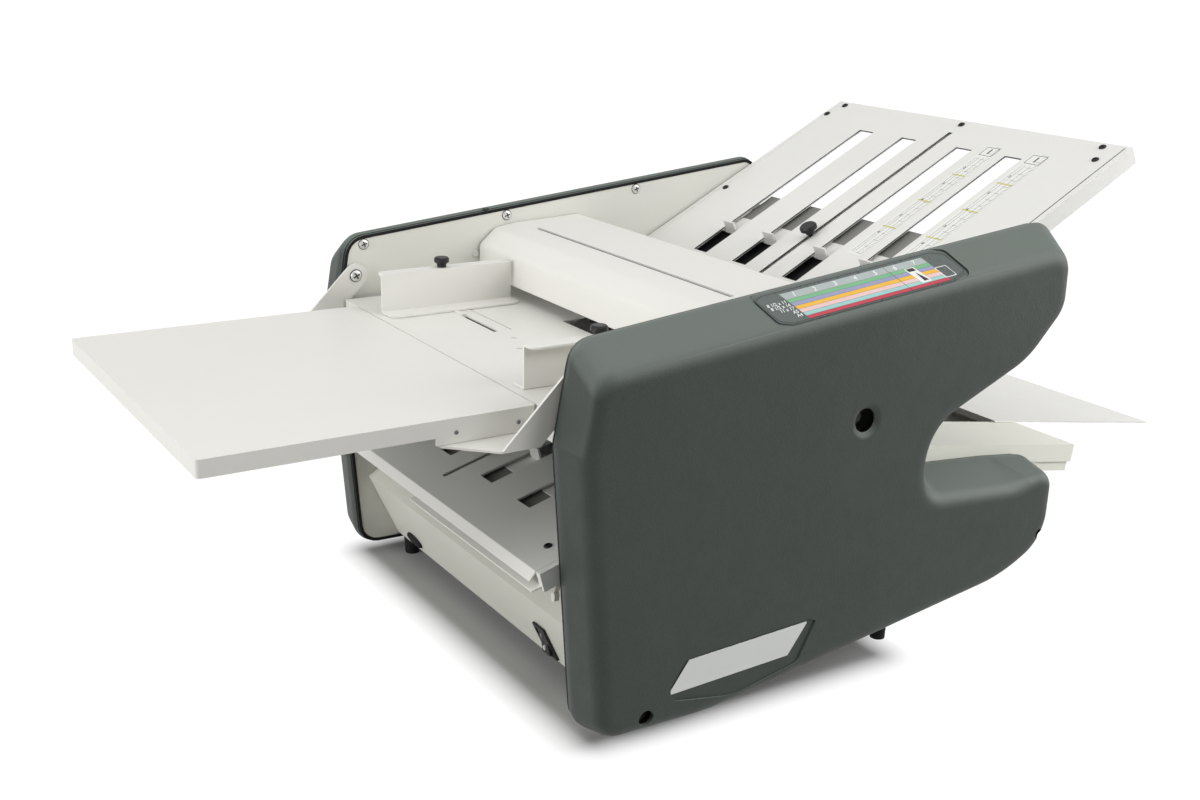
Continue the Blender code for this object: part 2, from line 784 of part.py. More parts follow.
def pulley_steps(*pulleys):
    """Profile steps of pulleys, each given by its radius and its far side layer."""
    steps = []
    for radius, layer in pulleys:
        steps += [(radius, pulley_y(layer)), (radius, pulley_y(layer) + PULLEY_LAYER)]
    return steps


def belt_outline(first, first_r, second, second_r):
    """Outline of a belt round two circles, in X and Z."""
    line = Vector(second) - Vector(first)
    heading = math.atan2(line.y, line.x)
    open_angle = math.acos((first_r - second_r) / line.length)
    points = []
    for centre, radius, start, end in (
        (first, first_r, heading + open_angle, heading + 2.0 * math.pi - open_angle),
        (second, second_r, heading - open_angle, heading + open_angle),
    ):
        for step in range(ROUND_SEGMENTS + 1):
            angle = start + (end - start) * step / ROUND_SEGMENTS
            points.append((centre[0] + radius * math.cos(angle), centre[1] + radius * math.sin(angle)))
    return points


def belt(name, first, first_r, second, second_r, layer):
    """Belt round two pulleys."""
    inner = belt_outline(first, first_r + GAP, second, second_r + GAP)
    outer = belt_outline(first, first_r + GAP + BELT_T, second, second_r + GAP + BELT_T)
    start = pulley_y(layer) - PLATE_OUTER_Y + GAP
    mesh = ring(outer, inner, start, start + PULLEY_LAYER - 2.0 * GAP)
    add_object(name, finish(mesh), side_frame(FAR), "rubber")


def drive():
    """Motor with its pulley shaft, the double pulley of roller 2, and the two belts."""
    main = roller_centres()[1]
    motor = (MOTOR_X, MOTOR_Z)
    face = PLATE_INNER_Y - GAP
    bore = JOURNAL_R + GAP
    body = turned([
        (MOTOR_R / 2.0, face - MOTOR_LENGTH), (MOTOR_R, face - MOTOR_LENGTH + MOTOR_R / 4.0),
        (MOTOR_R, face), (MOTOR_BOSS_R, face), (MOTOR_BOSS_R, PLATE_OUTER_Y),
        (bore, PLATE_OUTER_Y), (bore, PLATE_OUTER_Y - MOTOR_BORE_DEPTH),
    ], segments=28)
    add_object("motor", finish(body), shaft_frame(*motor), "steel", smooth=True)
    shaft = turned([
        (JOURNAL_R, PLATE_OUTER_Y - MOTOR_BORE_DEPTH + GAP), (JOURNAL_R, pulley_y(1)),
    ] + pulley_steps((MOTOR_PULLEY_R, 1)))
    add_object("motor_pulley", finish(shaft), shaft_frame(*motor), "steel", smooth=True)
    steps = pulley_steps((FEED_PULLEY_R, 0), (DRIVE_PULLEY_R, 1))
    double = turned_ring([(bore, steps[0][1])] + steps + [(bore, steps[-1][1])], segments=24)
    add_object("double_pulley", finish(double), shaft_frame(*main), "gear", smooth=True)
    belt("drive_belt", motor, MOTOR_PULLEY_R, main, DRIVE_PULLEY_R, 1)
    belt("feed_belt", feed_roller_centre(), FEED_PULLEY_R, main, FEED_PULLEY_R, 0)


def separator():
    """Cross bar with a block and a rubber pad over the feed roller."""
    z = SEPARATOR_BAR_Z
    cross_bar("separator_bar", FEED_ROLLER_X, z, SEPARATOR_BAR_R)
    pad_low = FEED_Z + FEED_ROLLER_PROUD + PAD_CLEAR
    pad_top = pad_low + PAD_T
    half = HOLDER_THICK / 2.0
    holder = box(-half, half, pad_top + GAP - z, HOLDER_RISE, -HOLDER_HALF, HOLDER_HALF)
    place = side_frame(NEAR, 0.0) @ Matrix.Translation((FEED_ROLLER_X, z, 0.0))
    obj = add_object("separator_holder", finish(holder), place, "steel")
    bore = prism(circle(SEPARATOR_BAR_R + GAP), -HOLDER_HALF - CUT_OVERRUN, HOLDER_HALF + CUT_OVERRUN)
    boolean(obj, [bore], "DIFFERENCE")
    pad = box(-half, half, pad_low - z, pad_top - z, -HOLDER_HALF, HOLDER_HALF)
    add_object("separator_pad", finish(pad), place, "rubber")


def hood_outline(inset):
    """Outline of the hood in X and Z, moved inward by an inset."""
    corners = [
        (HOOD_FRONT_X + x_share * HOOD_LENGTH, HOOD_BOTTOM_Z + z_share * HOOD_HEIGHT)
        for x_share, z_share in HOOD_OUTLINE_SHARES
    ]
    insets = [inset] * len(corners)
    insets[0] = -CUT_OVERRUN if inset else 0.0
    radii = [share * HOOD_LENGTH for share in HOOD_RADIUS_SHARES]
    return corner_points(inset_corners(corners, insets), radii, 4)


def hood():
    """Bent sheet hood over the rollers, with one long slot, and an ear and a hinge pin at each end."""
    place = side_frame(NEAR, 0.0)
    body = finish(prism(hood_outline(0.0), -HOOD_HALF, HOOD_HALF))
    obj = add_object("roller_hood", body, place, "cream", origin=(HOOD_PIVOT_X, 0.0, HOOD_PIVOT_Z))
    hollow = prism(hood_outline(SHEET), -HOOD_HALF - CUT_OVERRUN, HOOD_HALF + CUT_OVERRUN)
    slot = box(HOOD_SLOT_X - HOOD_SLOT_W / 2.0, HOOD_SLOT_X + HOOD_SLOT_W / 2.0,
               HOOD_BOTTOM_Z + HOOD_HEIGHT / 2.0, HOOD_BOTTOM_Z + HOOD_HEIGHT + CUT_OVERRUN,
               -HOOD_SLOT_Y1, -HOOD_SLOT_Y0)
    boolean(obj, [hollow], "DIFFERENCE")
    boolean(obj, [slot], "DIFFERENCE")
    ear = [
        (HOOD_FRONT_X + x_share * HOOD_LENGTH, HOOD_BOTTOM_Z + z_share * HOOD_HEIGHT)
        for x_share, z_share in HOOD_EAR_SHARES
    ]
    for side in SIDES:
        w0, w1 = sorted((side * HOOD_HALF, side * (HOOD_HALF - SHEET)))
        boolean(obj, [prism(ear, w0, w1)], "UNION")
        w0, w1 = sorted((side * (HOOD_HALF - SHEET / 2.0), side * PLATE_OUTER_Y))
        pin = prism(circle(HOOD_PIN_R, HOOD_PIVOT_X, HOOD_PIVOT_Z, BORE_SEGMENTS), w0, w1)
        boolean(obj, [pin], "UNION")


def feed_table():
    """Inner feed table: front skirt, side flanges with spacers, ramp, slots and roller opening."""
    path = [
        (TABLE_END_X, FEED_Z - TABLE_END_DROP), (TABLE_BEND_X, FEED_Z),
        (TABLE_FRONT_X, FEED_Z), (TABLE_FRONT_X, FEED_Z - TABLE_SKIRT),
    ]
    mesh = prism(sheet_outline(path, SHEET), -TABLE_HALF, TABLE_HALF)
    obj = add_object("feed_table", finish(mesh), side_frame(NEAR, 0.0), "cream")
    for side in SIDES:
        y0, y1 = sorted((side * TABLE_HALF, side * (TABLE_HALF - RAIL_T)))
        rail = box(RAIL_X0, TABLE_BEND_X, y0, y1, FEED_Z - TABLE_SKIRT, FEED_Z - SHEET / 2.0)
        boolean(obj, [rail], "UNION", Matrix())
        ends = (side * (TABLE_HALF - RAIL_T / 2.0), side * (PLATE_INNER_Y - GAP))
        for share in SPACER_SHARES:
            x = RAIL_X0 + share * (TABLE_BEND_X - RAIL_X0)
            spacer = turned([(SPACER_R, end) for end in ends], segments=BORE_SEGMENTS)
            boolean(obj, [spacer], "UNION", shaft_frame(x, FEED_Z - SPACER_DROP))
    low = FEED_Z - SHEET - CUT_OVERRUN
    high = FEED_Z + CUT_OVERRUN
    cuts = [box(ROLLER_OPENING_X0, ROLLER_OPENING_X1, -ROLLER_OPENING_HALF, ROLLER_OPENING_HALF, low, high)]
    for side in SIDES:
        for x, width, end in ((SLOT_X, SLOT_W, SLOT_Y1), (FINE_SLOT_X, FINE_SLOT_W, FINE_SLOT_Y1)):
            y0, y1 = sorted((side * SLOT_Y0, side * end))
            cuts.append(box(x - width / 2.0, x + width / 2.0, y0, y1, low, high))
    boolean(obj, cuts, "DIFFERENCE", Matrix())
    hole = prism(circle(JOURNAL_R + SHAFT_HOLE_CLEAR), -TABLE_HALF - CUT_OVERRUN, TABLE_HALF + CUT_OVERRUN)
    boolean(obj, [hole], "DIFFERENCE", shaft_frame(*feed_roller_centre()))


def extension_table():
    """Folding extension table: a pressed sheet tray, open below, with a shallower skirt at its free end."""
    x0 = EXT_FREE_X
    x1 = TABLE_FRONT_X - EXT_SEAM
    outer = rounded_rectangle(x0, x1, -EXT_HALF, EXT_HALF, EXT_CORNER_R)
    inner_half = EXT_HALF - SHEET
    inner = rounded_rectangle(x0 + SHEET, x1 - SHEET, -inner_half, inner_half, EXT_CORNER_R - SHEET)
    low = FEED_Z - EXT_DEPTH
    mesh = loft([lift(inner, FEED_Z - SHEET), lift(inner, low), lift(outer, low), lift(outer, FEED_Z)])
    obj = add_object("extension_table", finish(mesh), Matrix(), "cream", origin=(PIVOT_X, 0.0, PIVOT_Z))
    step = box(x0 - CUT_OVERRUN, EXT_STEP_X, -EXT_HALF - CUT_OVERRUN, EXT_HALF + CUT_OVERRUN,
               low - CUT_OVERRUN, FEED_Z - EXT_EDGE_DEPTH)
    boolean(obj, [step], "DIFFERENCE")


def arm_bracket(side):
    """Bracket that carries the extension table: a tab inside its skirt, a shelf and the sloped arm."""
    name = "arm_near" if side == NEAR else "arm_far"
    reach = FEED_Z - EXT_DEPTH - GAP
    drop = PIVOT_Z - (reach - SHEET)
    diagonal = ARM_HALF_W * math.sqrt(2.0)
    foot = [
        (PIVOT_X - drop - diagonal, reach - SHEET), (PIVOT_X - drop + diagonal, reach - SHEET),
        (PIVOT_X + ARM_HALF_W / math.sqrt(2.0), PIVOT_Z - ARM_HALF_W / math.sqrt(2.0)),
    ]
    eye = [
        (PIVOT_X + ARM_HALF_W * math.cos(angle), PIVOT_Z + ARM_HALF_W * math.sin(angle))
        for angle in (math.pi * (step / 8.0 - 0.25) for step in range(1, 9))
    ]
    frame = side_frame(side, 0.0)
    pivot = (PIVOT_X, 0.0, PIVOT_Z)
    obj = add_object(name, finish(prism(foot + eye, ARM_Y, ARM_Y + ARM_T)), frame, "cream", origin=pivot)
    inner_y = EXT_HALF - SHEET - GAP - SHEET
    shelf_x1 = PIVOT_X - drop + diagonal
    shelf = [
        (ARM_FOOT_X, inner_y), (shelf_x1, inner_y), (shelf_x1, ARM_Y + ARM_T),
        (PIVOT_X - drop - diagonal, ARM_Y + ARM_T), (ARM_FOOT_X, inner_y + 2.0 * SHEET),
    ]
    flat = frame @ Matrix(((1, 0, 0, 0), (0, 0, 1, 0), (0, 1, 0, 0), (0, 0, 0, 1)))
    boolean(obj, [prism(shelf, reach - SHEET, reach)], "UNION", flat)
    tab = prism([
        (ARM_FOOT_X, reach - SHEET), (shelf_x1, reach - SHEET),
        (shelf_x1, reach + ARM_TAB_H), (ARM_FOOT_X, reach + ARM_TAB_H),
    ], inner_y, inner_y + SHEET)
    boolean(obj, [tab], "UNION")
    hole = prism(circle(PIVOT_R + GAP, PIVOT_X, PIVOT_Z, BORE_SEGMENTS),
                 ARM_Y - CUT_OVERRUN, ARM_Y + ARM_T + CUT_OVERRUN)
    boolean(obj, [hole], "DIFFERENCE")


def pivot_screw(side):
    """Shouldered screw on which an arm of the extension table turns."""
    name = "pivot_screw_near" if side == NEAR else "pivot_screw_far"
    head = side * (ARM_Y - GAP)
    tip = head - side * PIVOT_HEAD_T
    mesh = turned([
        (PIVOT_HEAD_R / 2.0, tip), (PIVOT_HEAD_R, (head + tip) / 2.0),
        (PIVOT_HEAD_R, head), (PIVOT_R, head), (PIVOT_R, side * (PLATE_INNER_Y - GAP)),
    ], segments=16)
    add_object(name, finish(mesh), shaft_frame(PIVOT_X, PIVOT_Z), "steel", smooth=True)


def guide_knob_y():
    """Distance of a guide's knob from the machine's middle plane."""
    return GUIDE_Y + GUIDE_TOP_FLANGE / 2.0


def paper_guide(side):
    """Z-shaped paper guide: a foot flange inward, a wall, and a top flange outward."""
    suffix = "near" if side == NEAR else "far"
    foot_low = FEED_Z + GAP
    top_z = FEED_Z + GUIDE_H
    edge_in = GUIDE_Y - GUIDE_FOOT_FLANGE
    edge_out = GUIDE_Y + GUIDE_TOP_FLANGE
    path = [
        (edge_out, top_z), (GUIDE_Y, top_z), (GUIDE_Y, foot_low + GUIDE_T), (edge_in, foot_low + GUIDE_T),
    ]
    profile = [(side * y, z) for y, z in sheet_outline(path, GUIDE_T)]
    across = frame_at((0.0, 0.0, 0.0), (0, 1, 0), (0, 0, 1))
    obj = add_object("guide_" + suffix, finish(prism(profile, GUIDE_X0, GUIDE_X1)), across, "cream",
                     origin=(SLOT_X, side * GUIDE_Y, FEED_Z))
    y0, y1 = sorted((side * edge_in, side * edge_out))
    plan = rounded_rectangle(GUIDE_X0, GUIDE_X1, y0, y1, GUIDE_CORNER_R)
    boolean(obj, [prism(plan, FEED_Z - CUT_OVERRUN, top_z + CUT_OVERRUN)], "INTERSECT", Matrix())
    half = SLOT_W / 2.0 - GAP
    y0, y1 = sorted((side * (edge_in - TONGUE_LENGTH), side * (GUIDE_Y - GUIDE_T)))
    tongue = box(SLOT_X - half, SLOT_X + half, y0, y1, FEED_Z - TONGUE_DEPTH, foot_low + GUIDE_T / 2.0)
    boolean(obj, [tongue], "UNION", Matrix())
    hole = prism(circle(STUD_R + GAP, SLOT_X, side * guide_knob_y(), 12), FEED_Z, top_z + CUT_OVERRUN)
    boolean(obj, [hole], "DIFFERENCE", Matrix())


def knob_profile(low, neck_low, radius):
    """Profile of a knob of a radius, with a stud from low to its neck, then neck and head."""
    head_low = neck_low + KNOB_NECK_H
    head_top = head_low + KNOB_HEAD_H
    return [
        (STUD_R, low), (STUD_R, neck_low), (KNOB_NECK_R, neck_low),
        (KNOB_NECK_R, head_low), (radius, head_low + KNOB_HEAD_H / 3.0),
        (radius, head_top - KNOB_HEAD_H / 5.0), (radius - KNOB_HEAD_H / 5.0, head_top),
    ]


def guide_clamp(side):
    """Thumb knob of a guide, with its stud and the clamp disc under the feed table."""
    suffix = "near" if side == NEAR else "far"
    place = Matrix.Translation((SLOT_X, side * guide_knob_y(), 0.0))
    clamp_top = FEED_Z - SHEET - GAP
    clamp = [(CLAMP_R, clamp_top - CLAMP_T), (CLAMP_R, clamp_top)]
    knob = turned(clamp + knob_profile(clamp_top, FEED_Z + GUIDE_H + GAP, KNOB_R))
    add_object("guide_knob_" + suffix, finish(knob), place, "black", smooth=True)


def upper_frame():
    """Frame of the upper fold table: u runs down its slope from the tip, w out of its underside."""
    along = (-math.cos(UPPER_ANGLE), 0.0, -math.sin(UPPER_ANGLE))
    return frame_at((UPPER_TIP_X, 0.0, UPPER_TIP_Z), along, (0, 1, 0))


def lower_frame():
    """Frame of the lower fold table: u runs up its slope from the lip, w out of its underside."""
    along = (math.cos(LOWER_ANGLE), 0.0, math.sin(LOWER_ANGLE))
    return frame_at((LOWER_TIP_X, 0.0, LOWER_TIP_Z), along, (0, -1, 0))


def window_cuts(length, v_sign, extra, low, high):
    """Cutters of the four windows and the knob slot of a fold table's plate."""
    u0 = FOLD_WINDOW_START - extra
    u1 = FOLD_WINDOW_START + length + extra
    half = FOLD_WINDOW_W / 2.0 + extra
    cuts = [box(u0, u1, v_sign * y - half, v_sign * y + half, low, high) for y in FOLD_WINDOW_YS]
    half = FOLD_SLOT_W / 2.0
    middle = v_sign * FOLD_SLOT_Y
    cuts.append(box(u0 - STOP_KNOB_BACK, u1 + STOP_KNOB_BACK / 2.0, middle - half, middle + half, low, high))
    return cuts


def fold_table(prefix, place, v_sign, length, window_length, lip):
    """One fold table: a slotted top plate over a slotted tray with the paper's throat between.

    A guard sheet closes the upper tray under its windows, and a shelf lies under the lower lip.
    """
    path = [(length, 0.0), (0.0, 0.0)]
    if lip:
        bend = math.radians(LIP_BEND_DEG)
        path.append((-LIP_LENGTH * math.cos(bend), LIP_LENGTH * math.sin(bend)))
    profile = sheet_outline(path, -FOLD_T)
    side_on = place @ Matrix(((1, 0, 0, 0), (0, 0, -1, 0), (0, 1, 0, 0), (0, 0, 0, 1)))
    top = add_object(prefix + "_fold_top", finish(prism(profile, -FOLD_HALF, FOLD_HALF)), side_on, "cream")
    high = FOLD_T + FOLD_THROAT
    boolean(top, window_cuts(window_length, v_sign, 0.0, -CUT_OVERRUN, high), "DIFFERENCE", place)
    rail_in = FOLD_HALF + GAP
    sheet = box(GAP, length, -rail_in - SHEET, rail_in + SHEET, high, high + FOLD_T)
    tray = add_object(prefix + "_fold_tray", finish(sheet), place, "cream")
    cuts = window_cuts(window_length, v_sign, LOWER_WINDOW_EXTRA, FOLD_T, high + FOLD_T + CUT_OVERRUN)
    boolean(tray, cuts, "DIFFERENCE")
    for sign in SIDES:
        v0, v1 = sorted((sign * rail_in, sign * FOLD_RAIL_OUT))
        boolean(tray, [box(0.0, length, v0, v1, 0.0, FOLD_RAIL_H)], "UNION")
    middle = (rail_in + FOLD_RAIL_OUT) / 2.0
    if lip:
        plate = box(SHELF_U0, SHELF_U1, -SHELF_END_Y, middle, SHELF_W, SHELF_W + FOLD_T)
    else:
        plate = box(GUARD_U0, GUARD_U1, -middle, middle, GUARD_W, GUARD_W + FOLD_T)
    boolean(tray, [plate], "UNION")


def cross_bar(name, x, z, radius):
    """Round bar between the side frames."""
    end = PLATE_INNER_Y - GAP
    bar = turned([(radius, -end), (radius, end)], segments=BORE_SEGMENTS)
    add_object(name, finish(bar), shaft_frame(x, z), "steel", smooth=True)


def fold_ties(prefix, place, positions):
    """Tie bars on which a fold table's rails lie."""
    height = FOLD_RAIL_H + GAP + FOLD_TIE_R
    for number, u in enumerate(positions, 1):
        at = place @ Vector((u, 0.0, height))
        cross_bar("%s_tie_bar_%d" % (prefix, number), at.x, at.z, FOLD_TIE_R)


def fold_stop(prefix, place, v_sign, stop_u, back):
    """Sliding stop: a bar with a hook in each window and a stepped carrier sheet, and its thumb knob.

    The hooks stand at stop_u, and the carrier reaches from the bar in the direction of back.
    """
    low = 2.0 * FOLD_T + FOLD_THROAT + GAP
    u0, u1 = sorted((stop_u, stop_u + back * STOP_REACH))
    bar = add_object(prefix + "_stop_bar", finish(box(u0, u1, -STOP_HALF, STOP_HALF, low, low + SHEET)),
                     place, "cream")
    hooks = []
    for y in FOLD_WINDOW_YS:
        v = v_sign * y
        half = STOP_HOOK_W / 2.0
        h0, h1 = sorted((stop_u, stop_u + back * SHEET))
        hooks.append(box(h0, h1, v - half, v + half, -STOP_HOOK_H, low + SHEET / 2.0))
    boolean(bar, hooks, "UNION")
    knob_u = stop_u + back * STOP_KNOB_BACK
    knob_v = v_sign * FOLD_SLOT_Y
    c0, c1 = sorted((knob_u - back * STOP_KNOB_BACK / 2.0, stop_u + back * (STOP_REACH + STOP_CARRIER)))
    carrier_end = low + 2.0 * SHEET
    carrier = box(c0, c1, -STOP_HALF + SHEET, STOP_HALF - SHEET, low + SHEET / 2.0, carrier_end)
    boolean(bar, [carrier], "UNION")
    stud = prism(circle(STUD_R + GAP, knob_u, knob_v, 12), low - CUT_OVERRUN, carrier_end + CUT_OVERRUN)
    boolean(bar, [stud], "DIFFERENCE")
    upward = knob_profile(-carrier_end, STOP_KNOB_RISE, STOP_KNOB_R)
    profile = [(radius, -height) for radius, height in upward]
    knob_place = place @ Matrix.Translation((knob_u, knob_v, 0.0))
    add_object(prefix + "_stop_knob", finish(turned(profile)), knob_place, "black", smooth=True)


def bed_frame():
    """Frame of the exit bed: u runs down its slope along +X, v is Y, w is its upward normal."""
    along = (math.cos(BED_ANGLE), 0.0, -math.sin(BED_ANGLE))
    return frame_at((BED_END_X, 0.0, BED_END_Z), along, (0, 1, 0))


def bed_u(x):
    """Distance along the exit bed's slope of a place given along X."""
    return (x - BED_END_X) / math.cos(BED_ANGLE)


def exit_bed():
    """Exit bed: a sheet tray turned down at its sides and end, stepped inward, with a wide window."""
    half = PLATE_INNER_Y - SEAL_PROUD - GAP
    low = -BED_SKIRT - BED_STEP_H
    step = BED_STEP_IN
    levels = (
        (SHEET, -SHEET), (SHEET, SHEET - BED_SKIRT), (step + SHEET, SHEET - BED_SKIRT),
        (step + SHEET, low), (step, low), (step, -BED_SKIRT), (0.0, -BED_SKIRT), (0.0, 0.0),
    )
    mesh = loft([
        lift(rectangle(-BED_LENGTH + inset, -inset, -half + inset, half - inset), w) for inset, w in levels
    ])
    obj = add_object("exit_bed", finish(mesh), bed_frame(), "cream")
    window = box(bed_u(BED_WINDOW_X0), bed_u(BED_WINDOW_X1), -BED_WINDOW_HALF, BED_WINDOW_HALF,
                 -SHEET - CUT_OVERRUN, CUT_OVERRUN)
    boolean(obj, [window], "DIFFERENCE")


def exit_tray():
    """Exit tray: a plain sheet on the bed, whose turned-down back edge runs in the bed's window."""
    start = bed_u(BED_WINDOW_X1) - GAP - SHEET
    tip = bed_u(TRAY_TIP_X) - TRAY_T * math.tan(BED_ANGLE)
    plate = box(start, tip, -TRAY_HALF, TRAY_HALF, GAP, GAP + TRAY_T)
    obj = add_object("exit_tray", finish(plate), bed_frame(), "cream")
    half = BED_WINDOW_HALF - SHEET
    lip = box(start, start + TRAY_T, -half, half, -TRAY_LIP, GAP + TRAY_T / 2.0)
    boolean(obj, [lip], "UNION")


def pan_path():
    """Path of the base pan's sheet in X and Z, from the front flange round to the back."""
    corners = cover_corners()
    flange = turn((1.0, 0.0), FLANGE_ANGLE_DEG)
    down = (math.sin(PANEL_LEAN), -math.cos(PANEL_LEAN))
    bottom_x = PANEL_X + PANEL_LENGTH * down[0]
    bottom_z = PANEL_Z + PANEL_LENGTH * down[1]
    back_x = corners[5][0] - PAN_BACK_IN
    back_z = corners[5][1] + PAN_RISE
    return [
        (PANEL_X + FLANGE_LENGTH * flange[0], PANEL_Z + FLANGE_LENGTH * flange[1]),
        (PANEL_X, PANEL_Z), (bottom_x, bottom_z),
        (corners[3][0], corners[3][1] + PAN_RISE), (corners[4][0], corners[4][1] + PAN_RISE),
        (back_x, back_z), (back_x, back_z + PAN_BACK_H),
    ]


def panel_frame():
    """Frame of the slanted front panel: u is Y, v runs down the panel, w points out of it."""
    down = (math.sin(PANEL_LEAN), 0.0, -math.cos(PANEL_LEAN))
    return frame_at((PANEL_X, 0.0, PANEL_Z), (0, 1, 0), down)


def base_pan():
    """Base pan with the front panel, cut for the switch and the cord bushing."""
    half = PLATE_INNER_Y - GAP
    obj = add_object("base_pan", finish(prism(sheet_outline(pan_path(), SHEET), -half, half)),
                     side_frame(NEAR, 0.0), "cream")
    bezel_u = BEZEL_HALF_U - BEZEL_LIP + GAP
    bezel_v = BEZEL_HALF_V - BEZEL_LIP + GAP
    low = -SHEET - CUT_OVERRUN
    cuts = [
        box(SWITCH_Y - bezel_u, SWITCH_Y + bezel_u, SWITCH_V - bezel_v, SWITCH_V + bezel_v,
            low, CUT_OVERRUN),
        prism(circle(BUSHING_NECK_R + GAP, BUSHING_Y, BUSHING_V), low, CUT_OVERRUN),
    ]
    boolean(obj, cuts, "DIFFERENCE", panel_frame())


def switch():
    """Rocker switch: the bezel with its well, and the rocker that tilts in it."""
    place = panel_frame() @ Matrix.Translation((SWITCH_Y, SWITCH_V, 0.0))
    body_u = BEZEL_HALF_U - BEZEL_LIP
    body_v = BEZEL_HALF_V - BEZEL_LIP
    well_u = body_u - BEZEL_WALL
    well_v = body_v - BEZEL_WALL
    floor = -BEZEL_DEPTH + BEZEL_WALL
    loops = (
        (well_u, well_v, floor), (well_u, well_v, BEZEL_RIM), (BEZEL_HALF_U, BEZEL_HALF_V, BEZEL_RIM),
        (BEZEL_HALF_U, BEZEL_HALF_V, GAP), (body_u, body_v, GAP), (body_u, body_v, -BEZEL_DEPTH),
    )
    mesh = loft([lift(rectangle(-u, u, -v, v), w) for u, v, w in loops])
    add_object("switch_bezel", finish(mesh), place, "black")
    turned_place = place @ Matrix(((0, 0, 1, 0), (1, 0, 0, 0), (0, 1, 0, 0), (0, 0, 0, 1)))
    pivot = turned_place @ Matrix.Translation((0.0, ROCKER_PIVOT_W, 0.0))
    tilted = pivot @ Matrix.Rotation(math.radians(ROCKER_TILT_DEG), 4, "Z")
    profile = [
        (-ROCKER_HALF_V, ROCKER_TIP_W), (-ROCKER_HALF_V, 0.0), (-ROCKER_HALF_V / 2.0, -ROCKER_DEPTH),
        (ROCKER_HALF_V / 2.0, -ROCKER_DEPTH), (ROCKER_HALF_V, 0.0), (ROCKER_HALF_V, ROCKER_TIP_W),
        (0.0, ROCKER_MIDDLE_W),
    ]
    half_u = well_u - GAP
    mesh = prism([(v, w - ROCKER_PIVOT_W) for v, w in profile], -half_u, half_u)
    add_object("switch_rocker", finish(mesh), tilted, "black")


def oval(half_u, half_v):
    """Points of an ellipse, anticlockwise."""
    return [(u * half_u, v * half_v) for u, v in circle(1.0)]


def cord_bushing():
    """Flat oval strain relief bushing in the front panel, closed, because no cord is fitted."""
    place = panel_frame() @ Matrix.Translation((BUSHING_Y, BUSHING_V, 0.0))
    neck = circle(BUSHING_NECK_R)
    flange = oval(BUSHING_HALF_U, BUSHING_HALF_V)
    face = oval(BUSHING_HALF_U - BUSHING_EDGE, BUSHING_HALF_V - BUSHING_EDGE)
    mesh = loft([
        lift(neck, -BUSHING_NECK_DEPTH), lift(neck, GAP), lift(flange, GAP),
        lift(flange, BUSHING_PROUD - BUSHING_EDGE), lift(face, BUSHING_PROUD),
    ])
    add_object("cord_bushing", finish(mesh), place, "rubber", smooth=True)


def pan_low_z(x):
    """Height of the base pan's underside at a place along X."""
    path = pan_path()
    for (x0, z0), (x1, z1) in zip(path[2:], path[3:]):
        if x0 <= x < x1:
            return z0 + (z1 - z0) * (x - x0) / (x1 - x0)
    return path[2][1]


def feet():
    """Four rubber feet under the base pan."""
    for end, x in zip(("front", "rear"), FOOT_XS):
        top = min(pan_low_z(x - FOOT_R), pan_low_z(x + FOOT_R)) - GAP
        profile = [(FOOT_R - FOOT_TAPER, -DATUM_HEIGHT), (FOOT_R, top - FOOT_R / 4.0), (FOOT_R, top)]
        for side in SIDES:
            name = "foot_%s_%s" % (end, "near" if side == NEAR else "far")
            foot = turned(profile, segments=16)
            add_object(name, finish(foot), Matrix.Translation((x, side * FOOT_Y, 0.0)), "rubber", smooth=True)


def build():
    """Model the whole machine."""
    for obj in list(bpy.data.objects):
        bpy.data.objects.remove(obj)
    for side in SIDES:
        side_cover(side)
        edge_seal(side)
        side_frame_plate(side)
        bearing_plate(side)
        arm_bracket(side)
        pivot_screw(side)
        paper_guide(side)
        guide_clamp(side)
    for number in range(1, 5):
        fold_roller(number)
        roller_gear(number)
    feed_roller()
    drive()
    separator()
    hood()
    feed_table()
    extension_table()
    for prefix, place, v_sign, sizes in (
        ("upper", upper_frame(), 1.0, (UPPER_LENGTH, UPPER_WINDOW_LENGTH, UPPER_STOP_U, UPPER_TIE_US)),
        ("lower", lower_frame(), -1.0, (LOWER_LENGTH, LOWER_WINDOW_LENGTH, LOWER_STOP_U, LOWER_TIE_US)),
    ):
        length, window_length, stop_u, tie_us = sizes
        fold_table(prefix, place, v_sign, length, window_length, prefix == "lower")
        fold_ties(prefix, place, tie_us)
        fold_stop(prefix, place, v_sign, stop_u, -1.0)
    exit_bed()
    exit_tray()
    base_pan()
    switch()
    cord_bushing()
    feet()


build()
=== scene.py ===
"""Dressed scene of the tabletop paper folding machine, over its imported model.

Lengths are in metres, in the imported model's frame. Places that repeat the source's own are given
in millimetres from its datum corner, and placed() turns them into that frame.
"""
import math

import bmesh
import bpy
from mathutils import Matrix, Vector

